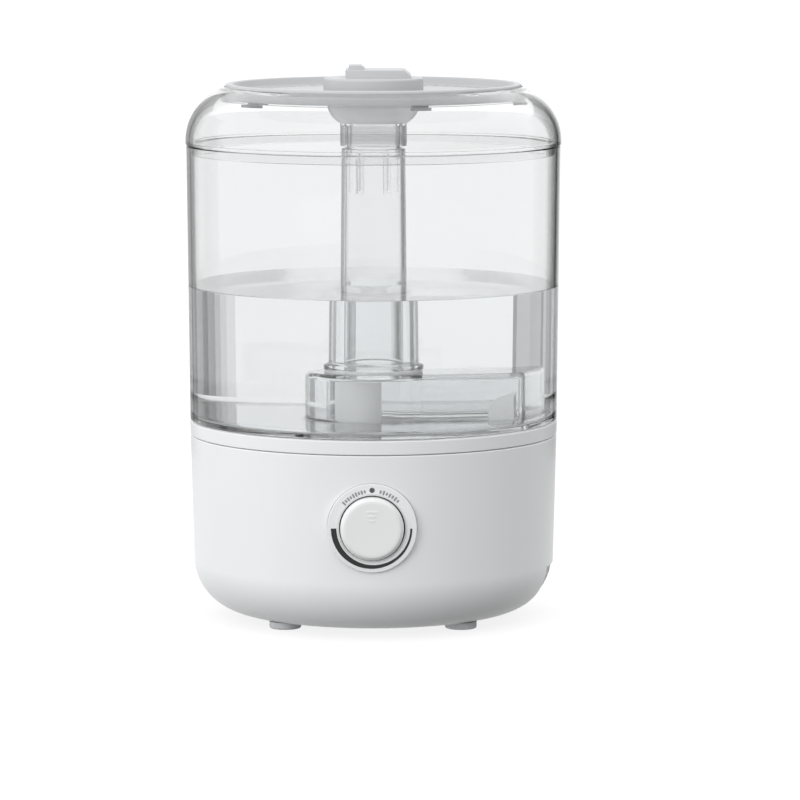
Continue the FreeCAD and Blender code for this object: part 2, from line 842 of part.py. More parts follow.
def lid_dome():
    """Clear ring dome that rests on the tank rim, with a skirt inside the tank."""
    body = new_body("lid_dome")
    centre = z.lid_radius - z.lid_corner
    inner = z.lid_corner - z.lid_wall
    reach = z.lid_opening - centre
    top = Size(z.lid_shoulder.value + math.sqrt(z.lid_corner.value ** 2 - reach.value ** 2),
               f"({z.lid_shoulder.text} + sqrt({z.lid_corner.text} ^ 2 - {reach.text} ^ 2))")
    hem = z.lid_opening + 1.6
    hem_reach = hem - centre
    under = Size(z.lid_shoulder.value + math.sqrt(inner.value ** 2 - hem_reach.value ** 2),
                 f"({z.lid_shoulder.text} + sqrt({inner.text} ^ 2 - {hem_reach.text} ^ 2))")
    revolve(body, [
        (z.lid_skirt_radius, z.lid_bottom),
        (z.lid_radius, z.lid_bottom),
        (z.lid_radius, z.lid_shoulder, z.lid_corner),
        (z.lid_opening, top),
        (z.lid_opening, z.cover_band_bottom - 0.8),
        (hem, z.cover_band_bottom - 0.8),
        (hem, under, -inner),
        (z.lid_radius - z.lid_wall, z.lid_shoulder),
        (z.lid_skirt_radius - 1.8, z.lid_shoulder),
        (z.lid_skirt_radius - 1.8, z.lid_skirt_bottom),
        (z.lid_skirt_radius - 0.2, z.lid_skirt_bottom),
    ], name="Dome")
    return body


def top_cover():
    """White round cover: rim band, shallow filling dish and a ring of drain slots."""
    body = new_body("top_cover")
    under = z.cover_floor - z.cover_wall
    hole = z.cup_top_radius - 1.6
    revolve(body, [
        (hole, under),
        (z.cover_radius - 1.8, under),
        (z.cover_radius - 1.8, z.cover_band_bottom),
        (z.cover_radius, z.cover_band_bottom),
        (z.cover_radius, z.cover_top - 0.8, 0.8),
        (z.cover_radius - 0.8, z.cover_top),
        (z.cover_radius - 3.6, z.cover_top),
        (z.cover_radius - 5.4, z.cover_floor),
        (hole, z.cover_floor),
    ], name="Dish")
    slot = lambda sketch: rectangle(sketch, 60.0, -0.9, 67.0, 0.9)
    cut = pad(body, slot, under - 1, z.cover_floor + 1, "Slot", cut=True)
    doc.recompute()
    repeat(body, cut, COUNTS["slots"])
    return body


def cover_clips():
    """Small hooks under the rim band that hold the cover in the dome."""
    for index in range(COUNTS["clips"]):
        clip = new_body(f"cover_clip_{index + 1}")
        foot = lambda sketch: rectangle(sketch, 70.6, -4.2, 77.4, 4.2)
        top = z.cover_band_bottom - 1.0
        pad(clip, foot, top - 1.3, top, "Hook")
        stem = lambda sketch: rectangle(sketch, 70.6, -4.2, 72.6, 4.2)
        pad(clip, stem, top - 0.6, z.cover_floor - z.cover_wall, "Stem")
        turn = FreeCAD.Rotation(Vector(0, 0, 1), -71.3 + 72 * index)
        clip.Placement = FreeCAD.Placement(Vector(0, 0, 0), turn)


def mist_path():
    """Cup under the cover, clear collar and the sleeve whose six fingers enter the chimney."""
    cup = new_body("mist_cup")
    under = z.cover_floor - z.cover_wall
    bend = 13.0
    revolve(cup, [
        (z.cup_foot_radius - 2.0, z.cup_foot),
        (z.cup_foot_radius, z.cup_foot, bend),
        (z.cup_top_radius, z.cover_band_bottom),
        (29, z.cover_band_bottom),
        (29, under),
        (z.cup_top_radius - 1.6, under),
        (z.cup_top_radius - 1.6, z.cover_band_bottom, -bend),
    ], name="Cup")
    ring("mist_collar", z.collar_radius - 2.2, z.collar_radius, z.collar_bottom,
         z.cup_foot - 1.3)
    sleeve = new_body("mist_sleeve")
    inner = z.sleeve_radius - 1.4
    revolve(sleeve, [
        (inner, z.sleeve_bottom),
        (z.sleeve_radius, z.sleeve_bottom),
        (z.sleeve_radius, z.cup_foot - 1.2),
        (z.collar_radius, z.cup_foot - 1.2),
        (z.collar_radius, z.cup_foot),
        (inner, z.cup_foot),
    ], name="Tube")
    gap = lambda sketch: rectangle(sketch, 9, -4.8, 16, 4.8)
    slot = pad(sleeve, gap, z.sleeve_bottom - 1, z.sleeve_bottom + 19, "Slot", cut=True)
    doc.recompute()
    repeat(sleeve, slot, 6)
    turn = FreeCAD.Rotation(Vector(0, 0, 1), 30)
    sleeve.Placement = FreeCAD.Placement(Vector(0, 0, 0), turn)


def nozzle():
    """Turning cap with a hollow hood; the mist leaves at the back. A grip stands on top."""
    body = new_body("nozzle")
    neck = z.nozzle_bore + 2.0
    revolve(body, [
        (z.nozzle_bore, 256),
        (neck, 256),
        (neck, z.nozzle_floor),
        (z.nozzle_radius, z.nozzle_floor),
        (z.nozzle_radius, z.nozzle_plate_top - 1.2, 1.2),
        (z.nozzle_radius - 1.2, z.nozzle_plate_top),
        (z.nozzle_bore, z.nozzle_plate_top),
    ], name="Cap")
    depth = z.hood_half_depth
    block = lambda sketch: outline(sketch, [
        (-z.hood_left, z.nozzle_plate_top - 1),
        (z.hood_right, z.nozzle_plate_top - 1),
        (z.hood_right, z.nozzle_plate_top + 1.2),
        (z.hood_right - 3.5, z.hood_top),
        (-z.hood_left, z.hood_top),
    ])
    pad(body, block, -depth, depth, "Hood", role="XZ_Plane")
    bore = lambda sketch: circle(sketch, 0, 0, z.nozzle_bore)
    pad(body, bore, z.nozzle_floor, z.hood_top - 1.6, "Bore", cut=True)
    outlet = lambda sketch: rectangle(sketch, -11, 0, 11, 20)
    pad(body, outlet, z.nozzle_plate_top, z.hood_top - 1.6, "Outlet", cut=True)
    tab = lambda sketch: outline(sketch, [
        (-13.2, z.hood_top - 1), (-4.5, z.hood_top - 1), (-4.5, z.hood_top + 0.8),
        (-6.2, z.grip_top), (-12.2, z.grip_top)])
    pad(body, tab, -8, 8, "Grip", role="XZ_Plane")
    return body


def check(obj):
    """Stop when a feature or a piece failed."""
    for item in doc.Objects:
        if any(word in item.State for word in ("Invalid", "Error")):
            raise RuntimeError(f"{item.Label} is {item.State}")
    if obj.Shape.isNull() or not obj.Shape.isValid() or obj.Shape.Volume <= 0:
        raise RuntimeError(f"{obj.Label} has a bad shape")


def main():
    """Build every piece, check the document and write one STEP file for each piece."""
    base_shell()
    air_grille()
    bottom_cover()
    base_fasteners()
    water_tray()
    mist_guide()
    air_hood()
    transducer_set()
    float_set()
    fan_set()
    valve_pin()
    power_inlet()
    circuit_boards()
    control_panel()
    control_knob()
    tank_wall()
    tank_floor()
    chimney_set()
    tank_valve()
    lid_dome()
    top_cover()
    cover_clips()
    mist_path()
    nozzle()
    doc.recompute()
    os.makedirs("parts", exist_ok=True)
    for piece in nodes:
        check(piece)
    for piece in nodes:
        piece.Shape.exportStep(f"parts/{piece.Label}.step")
        print(f"{piece.Label}: {piece.Shape.Volume / 1000:.2f} cm3, {len(piece.Shape.Solids)} solid")


main()
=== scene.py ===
"""Looks of the clear-tank cool mist humidifier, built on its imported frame.

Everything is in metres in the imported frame: the origin is on the floor under the body axis,
+Z is up and the control knob faces -Y.
"""

import json
import logging
import math
from dataclasses import dataclass, field
from enum import Enum
from typing import Sequence

import bmesh
import bpy
import numpy as np
from mathutils import Matrix, Vector

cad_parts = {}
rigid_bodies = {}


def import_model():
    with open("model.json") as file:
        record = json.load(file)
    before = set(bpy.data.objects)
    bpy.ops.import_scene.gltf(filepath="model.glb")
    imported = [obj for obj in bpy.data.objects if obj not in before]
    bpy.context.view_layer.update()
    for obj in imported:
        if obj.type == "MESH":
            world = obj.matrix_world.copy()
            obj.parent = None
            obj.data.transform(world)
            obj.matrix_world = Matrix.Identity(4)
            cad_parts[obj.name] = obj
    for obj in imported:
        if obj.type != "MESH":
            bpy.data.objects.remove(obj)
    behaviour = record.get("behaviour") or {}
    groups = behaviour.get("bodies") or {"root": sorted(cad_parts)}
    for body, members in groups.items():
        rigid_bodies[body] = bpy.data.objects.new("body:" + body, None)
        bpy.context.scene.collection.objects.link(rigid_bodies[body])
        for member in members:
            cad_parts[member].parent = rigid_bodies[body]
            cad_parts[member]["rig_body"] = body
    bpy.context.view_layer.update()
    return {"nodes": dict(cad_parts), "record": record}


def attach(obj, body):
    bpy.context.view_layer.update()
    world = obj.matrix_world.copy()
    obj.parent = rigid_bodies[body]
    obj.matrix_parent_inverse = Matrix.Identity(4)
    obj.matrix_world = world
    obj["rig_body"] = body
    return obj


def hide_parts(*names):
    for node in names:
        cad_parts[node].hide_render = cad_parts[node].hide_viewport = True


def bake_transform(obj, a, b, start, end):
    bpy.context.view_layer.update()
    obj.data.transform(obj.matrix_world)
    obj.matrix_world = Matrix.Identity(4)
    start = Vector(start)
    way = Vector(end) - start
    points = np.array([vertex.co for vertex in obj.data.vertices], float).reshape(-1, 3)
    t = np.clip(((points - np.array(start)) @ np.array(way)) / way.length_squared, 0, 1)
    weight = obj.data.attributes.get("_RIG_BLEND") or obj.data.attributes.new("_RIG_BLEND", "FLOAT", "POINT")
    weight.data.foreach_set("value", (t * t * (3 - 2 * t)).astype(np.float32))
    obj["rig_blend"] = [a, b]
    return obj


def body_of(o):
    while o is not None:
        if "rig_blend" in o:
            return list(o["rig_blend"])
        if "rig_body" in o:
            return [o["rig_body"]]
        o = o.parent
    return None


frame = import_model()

MM = 0.001
SMOOTH_LIMIT = math.radians(35)
CARVED_LIMIT = math.radians(32)
BEVEL_LIMIT = math.radians(38)
AT_ORIGIN = Matrix.Identity(4)
log = logging.getLogger("humidifier")

Array = np.ndarray
Profile = list[tuple[float, float]]


# ---- shader maths --------------------------------------------------------------------------


class Socket:
    """A shader socket whose arithmetic adds Math nodes."""

    def __init__(self, shader: "Shader", output: bpy.types.NodeSocket) -> None:
        """Wrap an output socket of a shader's tree."""
        self.shader = shader
        self.output = output

    def _math(self, operation: str, *values: object) -> "Socket":
        """Add a Math node that works on the given values."""
        settings = {"operation": operation}
        inputs = dict(enumerate(values))
        return self.shader.node("ShaderNodeMath", settings, inputs)

    def __add__(self, other: object) -> "Socket":
        """Return self + other."""
        return self._math("ADD", self, other)

    def __radd__(self, other: object) -> "Socket":
        """Return other + self."""
        return self._math("ADD", other, self)

    def __sub__(self, other: object) -> "Socket":
        """Return self - other."""
        return self._math("SUBTRACT", self, other)

    def __rsub__(self, other: object) -> "Socket":
        """Return other - self."""
        return self._math("SUBTRACT", other, self)

    def __mul__(self, other: object) -> "Socket":
        """Return self * other."""
        return self._math("MULTIPLY", self, other)

    def __rmul__(self, other: object) -> "Socket":
        """Return other * self."""
        return self._math("MULTIPLY", other, self)

    def above(self, edge: float, softness: float) -> "Socket":
        """Return a mask that rises from 0 to 1 across an edge.

        Args:
            edge: The value at which the mask is one half.
            softness: The width over which it rises.

        Returns:
            The mask, smoothly stepped.
        """
        settings = {"interpolation_type": "SMOOTHSTEP"}
        span = {"Value": self, "From Min": edge - softness / 2, "From Max": edge + softness / 2}
        return self.shader.node("ShaderNodeMapRange", settings, span, "Result")


class Shader:
    """A material's node tree, with one method that adds any node."""

    def __init__(self, name: str) -> None:
        """Make an empty material with an output node."""
        self.material = bpy.data.materials.new(f"{name}_finish")
        self.material.use_nodes = True
        self.tree = self.material.node_tree
        self.tree.nodes.clear()
        self.end = self.tree.nodes.new("ShaderNodeOutputMaterial")

    def node(
        self,
        kind: str,
        settings: dict[str, object] | None = None,
        inputs: dict[object, object] | None = None,
        output: object = 0,
    ) -> Socket:
        """Add a node.

        Args:
            kind: The node's type name.
            settings: Attributes set before any socket; "stops" fills a colour ramp.
            inputs: Values or sockets by input name or index.
            output: The name or index of the output that is returned.

        Returns:
            The wrapped output socket.
        """
        made = self.tree.nodes.new(kind)
        for key, value in (settings or {}).items():
            if key == "stops":
                self._fill_ramp(made, value)
            else:
                setattr(made, key, value)
        for key, value in (inputs or {}).items():
            if isinstance(value, Socket):
                self.tree.links.new(value.output, made.inputs[key])
            else:
                made.inputs[key].default_value = value
        return Socket(self, made.outputs[output])

    @staticmethod
    def _fill_ramp(made: bpy.types.Node, stops: Sequence[tuple[float, tuple]]) -> None:
        """Set a colour ramp's stops."""
        elements = made.color_ramp.elements
        while len(elements) < len(stops):
            elements.new(0.5)
        for element, (place, colour) in zip(elements, stops):
            element.position = place
            element.color = colour

    def place(self) -> Socket:
        """Return the object's own coordinates, in metres."""
        return self.node("ShaderNodeTexCoord", output="Object")

    def noise(self, scale: float, detail: float = 4.0, rough: float = 0.5,
              stretch: tuple[float, float, float] = (1.0, 1.0, 1.0)) -> Socket:
        """Return noise over the object's coordinates.

        Args:
            scale: Cells to the metre.
            detail: Octaves.
            rough: How strong the finer octaves are.
            stretch: Factors along X, Y and Z before the noise is read.

        Returns:
            A value from 0 to 1.
        """
        where = self.node("ShaderNodeMapping", None, {"Vector": self.place(), "Scale": stretch})
        inputs = {"Vector": where, "Scale": scale, "Detail": detail, "Roughness": rough}
        return self.node("ShaderNodeTexNoise", None, inputs)

    def mix(self, mask: object, first: object, second: object) -> Socket:
        """Mix two colours by a mask."""
        settings = {"data_type": "RGBA"}
        return self.node("ShaderNodeMix", settings, {0: mask, 6: first, 7: second}, 2)

    def bump(self, height: Socket, depth: float, strength: float = 1.0) -> Socket:
        """Return a normal bent by a height field of the given depth in metres."""
        inputs = {"Height": height, "Distance": depth, "Strength": strength}
        return self.node("ShaderNodeBump", None, inputs)

    def finish(self, **inputs: object) -> bpy.types.Material:
        """Add the main shader with the given sockets and return the material."""
        named = {key.replace("_", " "): value for key, value in inputs.items()}
        shader = self.node("ShaderNodeBsdfPrincipled", None, named)
        self.tree.links.new(shader.output, self.end.inputs["Surface"])
        return self.material


def rgba(red: float, green: float, blue: float) -> tuple[float, float, float, float]:
    """Return an opaque linear colour."""
    return (red, green, blue, 1.0)


def shade(colour: tuple, factor: float) -> tuple[float, float, float, float]:
    """Return a colour multiplied by a factor."""
    return rgba(*(channel * factor for channel in colour[:3]))


# ---- finishes ------------------------------------------------------------------------------


@dataclass(frozen=True)
class MouldedPlastic:
    """Opaque moulded plastic: faint flow mottling, fine grain and a slight orange peel."""

    name: str
    colour: tuple[float, float, float, float]
    roughness: float = 0.34
    grain: float = 0.000012
    mottle: float = 0.03
    coat: float = 0.0
    scatter: float = 0.0

    def build(self) -> bpy.types.Material:
        """Return the material."""
        shader = Shader(self.name)
        flow = shader.noise(18.0, 3.0, 0.55, (1.0, 1.0, 0.45))
        grain = shader.noise(2600.0, 2.0, 0.5)
        peel = shader.noise(420.0, 2.0, 0.4)
        colour = shader.mix(flow.above(0.5, 0.5), shade(self.colour, 1.0 - self.mottle),
                            self.colour)
        rough = self.roughness + (flow - 0.5) * 0.08 + (grain - 0.5) * 0.05
        height = grain * 0.5 + peel * 0.5
        return shader.finish(
            Base_Color=colour,
            Roughness=rough,
            Normal=shader.bump(height, self.grain),
            Coat_Weight=self.coat,
            Subsurface_Weight=self.scatter,
            Subsurface_Radius=(0.004, 0.004, 0.004),
            IOR=1.49,
        )


@dataclass(frozen=True)
class ClearPlastic:
    """Clear moulded plastic: faint flow lines, fine polish marks, the plastic's index and painted edge
    shade.
    """

    name: str
    colour: tuple[float, float, float, float]
    # rim: painted shade, the colour the surface takes where it is seen edge-on.
    rim: tuple[float, float, float, float]
    rim_shade_start: float = 0.8
    rim_shade_width: float = 0.4
    index: float = 1.49
    wave: float = 0.00004
    roughness: float = 0.0
    clarity: float = 1.0

    def build(self) -> bpy.types.Material:
        """Return the material."""
        shader = Shader(self.name)
        lines = shader.noise(26.0, 2.0, 0.4, (1.0, 1.0, 0.25))
        marks = shader.noise(900.0, 2.0, 0.5, (1.0, 1.0, 6.0))
        rough = self.roughness + marks.above(0.85, 0.1) * 0.03
        # Painted shade: the colour darkens to the rim colour where the surface is seen edge-on, standing in
        # for the dark surroundings that bent and mirrored rays would meet.
        facing = shader.node("ShaderNodeLayerWeight", None, {"Blend": 0.5}, "Facing")
        painted_edge_shade = facing.above(self.rim_shade_start, self.rim_shade_width)
        return shader.finish(
            Base_Color=shader.mix(painted_edge_shade, self.colour, self.rim),
            Roughness=rough,
            Normal=shader.bump(lines, self.wave),
            Transmission_Weight=self.clarity,
            IOR=self.index,
        )


@dataclass(frozen=True)
class WaterFinish:
    """Still water with slow, very low ripples, and painted shade that darkens it towards grazing edges."""

    name: str = "water"
    colour: tuple[float, float, float, float] = rgba(0.95, 0.96, 0.965)
    # rim: painted shade, the colour the water takes where it is seen edge-on.
    rim: tuple[float, float, float, float] = rgba(0.3, 0.31, 0.32)

    def build(self) -> bpy.types.Material:
        """Return the material."""
        shader = Shader(self.name)
        ripple = shader.noise(30.0, 2.0, 0.5)
        # Painted shade: the colour darkens to the rim colour where the surface is seen edge-on.
        facing = shader.node("ShaderNodeLayerWeight", None, {"Blend": 0.5}, "Facing")
        painted_edge_shade = facing.above(0.62, 0.35)
        return shader.finish(
            Base_Color=shader.mix(painted_edge_shade, self.colour, self.rim),
            Roughness=ripple.above(0.95, 0.1) * 0.02,
            Normal=shader.bump(ripple, 0.00003),
            Transmission_Weight=1.0,
            IOR=1.333,
        )


@dataclass(frozen=True)
class SoftRubber:
    """Matte rubber with a powdery, pitted skin."""

    name: str
    colour: tuple[float, float, float, float]
    roughness: float = 0.72

    def build(self) -> bpy.types.Material:
        """Return the material."""
        shader = Shader(self.name)
        pits = shader.noise(1500.0, 4.0, 0.6)
        bloom = shader.noise(160.0, 3.0, 0.5)
        colour = shader.mix(bloom.above(0.55, 0.3), self.colour, shade(self.colour, 1.12))
        return shader.finish(
            Base_Color=colour,
            Roughness=self.roughness + (pits - 0.5) * 0.2,
            Normal=shader.bump(pits, 0.00006),
        )


@dataclass(frozen=True)
class BrushedMetal:
    """Bare metal with fine drawn marks and slight tarnish."""

    name: str
    colour: tuple[float, float, float, float]
    roughness: float = 0.3

    def build(self) -> bpy.types.Material:
        """Return the material."""
        shader = Shader(self.name)
        lines = shader.noise(900.0, 3.0, 0.6, (1.0, 1.0, 0.05))
        tarnish = shader.noise(120.0, 4.0, 0.6)
        colour = shader.mix(tarnish.above(0.6, 0.3), self.colour, shade(self.colour, 0.82))
        return shader.finish(
            Base_Color=colour,
            Metallic=1.0,
            Roughness=self.roughness + (lines - 0.5) * 0.25,
            Normal=shader.bump(lines, 0.00001),
        )


@dataclass(frozen=True)
class CircuitBoard:
    """Green lacquered board with copper tracks under the lacquer."""

    name: str = "circuit_green"

    def build(self) -> bpy.types.Material:
        """Return the material."""
        shader = Shader(self.name)
        cells = shader.node("ShaderNodeTexVoronoi", {"feature": "DISTANCE_TO_EDGE"},
                            {"Vector": shader.place(), "Scale": 260.0})
        tracks = cells.above(0.08, 0.03)
        weave = shader.noise(2200.0, 2.0, 0.5)
        colour = shader.mix(tracks, rgba(0.03, 0.2, 0.09), rgba(0.02, 0.1, 0.05))
        return shader.finish(
            Base_Color=colour,
            Roughness=0.35 + weave * 0.15,
            Normal=shader.bump(tracks * 0.6 + weave * 0.1, 0.00004),
        )


@dataclass(frozen=True)
class OpenFoam:
    """Open-cell filter foam."""

    name: str = "foam"

    def build(self) -> bpy.types.Material:
        """Return the material."""
        shader = Shader(self.name)
        cells = shader.node("ShaderNodeTexVoronoi", None,
                            {"Vector": shader.place(), "Scale": 900.0}, "Distance")
        colour = shader.mix(cells.above(0.4, 0.4), rgba(0.02, 0.02, 0.02), rgba(0.1, 0.1, 0.1))
        return shader.finish(
            Base_Color=colour,
            Roughness=0.85 + (cells - 0.5) * 0.1,
            Normal=shader.bump(cells, 0.0004),
        )


@dataclass(frozen=True)
class PrintedInk:
    """Pad-printed ink: nearly flat, with a faint pinhole texture."""

    name: str
    colour: tuple[float, float, float, float]

    def build(self) -> bpy.types.Material:
        """Return the material."""
        shader = Shader(self.name)
        holes = shader.noise(3200.0, 3.0, 0.6)
        colour = shader.mix(holes.above(0.72, 0.1), self.colour, shade(self.colour, 2.2))
        return shader.finish(
            Base_Color=colour,
            Roughness=0.42 + (holes - 0.5) * 0.15,
            Normal=shader.bump(holes, 0.00001),
        )


class Finish(Enum):
    """The finishes; one that is named as a material slot also dresses that slot's pieces."""

    SHELL = MouldedPlastic("white_shell", rgba(0.80, 0.81, 0.82), 0.36, coat=0.12)
    # Painted shade: the cover is white plastic, given a mid grey colour that stands in for the shade it sits
    # in.
    SHADED_COVER = MouldedPlastic("cover_white", rgba(0.50, 0.51, 0.52), 0.42)
    KNOB = MouldedPlastic("knob_white", rgba(0.80, 0.81, 0.81), 0.32, coat=0.15)
    # The second colour of each clear finish is painted shade at its grazing edges.
    CLEAR = ClearPlastic("clear_plastic", rgba(0.895, 0.90, 0.903), rgba(0.10, 0.10, 0.105),
                         rim_shade_start=0.79, rim_shade_width=0.44)
    COLLAR = ClearPlastic("collar_plastic", rgba(0.80, 0.805, 0.81), rgba(0.05, 0.05, 0.055),
                          rim_shade_start=0.62, rim_shade_width=0.6)
    GREY = MouldedPlastic("grey_plastic", rgba(0.45, 0.46, 0.47), 0.5, 0.00002)
    FOAM = OpenFoam()
    LEVEL = PrintedInk("level_black", rgba(0.004, 0.004, 0.004))
    SOFT = SoftRubber("soft_rubber", rgba(0.5, 0.51, 0.52))
    SILICONE = SoftRubber("silicone", rgba(0.72, 0.73, 0.73), 0.45)
    STEEL = BrushedMetal("steel", rgba(0.6, 0.61, 0.62))
    MAGNET = BrushedMetal("magnet", rgba(0.12, 0.12, 0.13), 0.5)
    BOARD = CircuitBoard()
    LIGHT = MouldedPlastic("light", rgba(0.2, 0.2, 0.2), 0.3)
    # These clear finishes also darken to painted shade at their grazing edges.
    THIN = ClearPlastic("thin_clear", rgba(0.955, 0.958, 0.96), rgba(0.05, 0.05, 0.055),
                        rim_shade_start=0.7, rim_shade_width=0.36)
    FROST = ClearPlastic("frosted_plastic", rgba(0.90, 0.905, 0.91), rgba(0.5, 0.5, 0.51),
                         roughness=0.22, clarity=0.45)
    # Painted light: the inner parts are the shell's white plastic, coloured brighter to make up for the
    # light they lose inside the clear tank.
    INNER_PAINTED_BRIGHT = MouldedPlastic("inner_white", rgba(0.97, 0.972, 0.975), 0.3)
    FLOAT = MouldedPlastic("float_blue", rgba(0.75, 0.75, 0.72), 0.6)
    CLIP = MouldedPlastic("clip_grey", rgba(0.2, 0.2, 0.21), 0.45)
    WATER = WaterFinish()
    MARK = PrintedInk("mark_grey", rgba(0.28, 0.28, 0.29))

    @property
    def material(self) -> bpy.types.Material:
        """Return the material, built once."""
        found = bpy.data.materials.get(f"{self.value.name}_finish")
        return found or self.value.build()


# ---- surfaces ------------------------------------------------------------------------------


def fillet(before: Array, corner: Array, after: Array, radius: float, steps: int) -> Array:
    """Round one corner of a path.

    The arc touches both legs at radius / tan(half the corner's angle) from the corner, and is
    worked out as an angle that runs evenly between the two touching points about the centre.

    Args:
        before: The point before the corner.
        corner: The corner.
        after: The point after the corner.
        radius: The arc's radius.
        steps: The number of arc segments.

    Returns:
        The arc's points, with one support point a little outside each end.
    """
    back = (before - corner) / np.linalg.norm(before - corner)
    ahead = (after - corner) / np.linalg.norm(after - corner)
    half = math.acos(float(np.clip(back @ ahead, -1, 1))) / 2
    reach = radius / math.tan(half)
    limit = 0.49 * min(np.linalg.norm(before - corner), np.linalg.norm(after - corner))
    if reach > limit:
        reach = limit
        radius = reach * math.tan(half)
    middle = (back + ahead) / np.linalg.norm(back + ahead)
    centre = corner + middle * radius / math.sin(half)
    start = corner + back * reach - centre
    stop = corner + ahead * reach - centre
    turn = math.atan2(start[0] * stop[1] - start[1] * stop[0], float(start @ stop))
    angle = np.linspace(0, turn, steps + 1)
    x = centre[0] + start[0] * np.cos(angle) - start[1] * np.sin(angle)
    y = centre[1] + start[0] * np.sin(angle) + start[1] * np.cos(angle)
    arc = np.stack([x, y], 1)
    pad = min(0.12 * MM, limit * 0.02)
    return np.vstack([arc[:1] + back * pad, arc, arc[-1:] + ahead * pad])


def rounded(path: Sequence[tuple], closed: bool = True, steps: int = 6) -> Array:
    """Turn a path of (offset, height, radius) corners into a dense line.

    Args:
        path: Corners in metres; a corner with no radius stays sharp.
        closed: Whether the last point joins the first.
        steps: Segments of each arc.

    Returns:
        An array of (offset, height) rows.
    """
    corners = np.array([point[:2] for point in path], float)
    pieces = []
    count = len(path)
    for index, point in enumerate(path):
        inside = closed or 0 < index < count - 1
        radius = point[2] if len(point) > 2 else 0.0
        if radius > 0 and inside:
            before = corners[index - 1]
            after = corners[(index + 1) % count]
            pieces.append(fillet(before, corners[index], after, radius, steps))
        else:
            pieces.append(corners[index:index + 1])
    return np.vstack(pieces)


def arc_line(centre: tuple[float, float], radius: float, start: float, stop: float,
             steps: int) -> list[tuple[float, float]]:
    """Return points on a circle.

    Args:
        centre: The circle's middle.
        radius: Its radius.
        start: The first point's angle in degrees.
        stop: The last point's angle in degrees.
        steps: The number of even steps between them.

    Returns:
        The points, first to last.
    """
    angle = np.radians(np.linspace(start, stop, steps + 1))
    x = centre[0] + radius * np.cos(angle)
    y = centre[1] + radius * np.sin(angle)
    return list(zip(x.tolist(), y.tolist()))


def round_ring(radius: Array, angle: Array) -> Array:
    """Return circles: each row is radius times (cos angle, sin angle)."""
    return radius[:, None, None] * np.stack([np.cos(angle), np.sin(angle)], 1)[None]


def stacked(*parts: tuple[Array, Array]) -> Array:
    """Lay flat rings one after another, each at its own height.

    Args:
        parts: Rings as (rows, steps, 2), each with the heights of its rows.

    Returns:
        Points as (rows, steps, 3).
    """
    flat = np.concatenate([ring for ring, _ in parts])
    height = np.concatenate([line for _, line in parts])
    lifted = np.broadcast_to(height[:, None, None], flat.shape[:2] + (1,))
    return np.concatenate([flat, lifted], 2)


@dataclass(frozen=True)
class Keyhole:
    """Outline of the air housing: a round end about the axis and a channel towards +X."""

    radius: float = 26.0 * MM
    half_width: float = 20.0 * MM
    length: float = 64.0 * MM
    corner: float = 6.0 * MM

    def ring(self, offset: Array, angle: Array) -> Array:
        """Return the outline grown by each offset, met by rays from the axis.

        A ray at an angle meets the round end at its radius, the side at half width over the
        sine, the end wall at length over the cosine, and a corner where it enters the
        corner's circle: the larger root of the ray and circle equation.

        Args:
            offset: Outward growth of each row, in metres.
            angle: Ray angles in radians.

        Returns:
            An array (rows, rays, 2).
        """
        grow = offset[:, None]
        ray = angle[None]
        cosine = np.cos(ray)
        sine = np.abs(np.sin(ray))
        side = (self.half_width + grow) / np.maximum(sine, 1e-9)
        front = (self.length + grow) / np.maximum(cosine, 1e-9)
        straight = np.minimum(side, front)
        corner = np.maximum(self.corner + grow, 0.3 * MM)
        centre_x = self.length + grow - corner
        centre_y = self.half_width + grow - corner
        along = centre_x * cosine + centre_y * sine
        square = along ** 2 - (centre_x ** 2 + centre_y ** 2 - corner ** 2)
        bend = along + np.sqrt(np.maximum(square, 0.0))
        within = (straight * cosine > centre_x) & (straight * sine > centre_y)
        channel = np.where(within, bend, straight)
        reach = self.radius + grow
        meet = np.arcsin(np.clip((self.half_width + grow) / reach, -1, 1))
        wrapped = np.abs((ray + np.pi) % (2 * np.pi) - np.pi)
        distance = np.where(wrapped < meet, channel, reach)
        return distance[..., None] * np.stack([np.cos(angle), np.sin(angle)], 1)[None]


@dataclass
class Surface:
    """A mesh made from a grid of points."""

    name: str
    points: Array
    wrap_rows: bool = True

    def faces(self) -> Array:
        """Return the four corners of each cell; columns wrap, and rows where asked."""
        rows, columns = self.points.shape[:2]
        index = np.arange(rows * columns).reshape(rows, columns)
        row_end = index if self.wrap_rows else index[:-1]
        below = np.roll(index, -1, 0)[:len(row_end)]
        cells = np.stack([row_end, np.roll(row_end, -1, 1), np.roll(below, -1, 1), below], -1)
        return cells.reshape(-1, 4)

    def build(self, finish: Finish, body: str, shadow: bool = True) -> bpy.types.Object:
        """Make the object, smooth it, dress it and let it ride.

        Args:
            finish: The finish it gets.
            body: The body it rides on, or nothing where it is blended between two.
            shadow: Whether it blocks light.

        Returns:
            The new object.
        """
        return make_object(self.name, self.points.reshape(-1, 3), self.faces(), finish, body,
                           shadow)


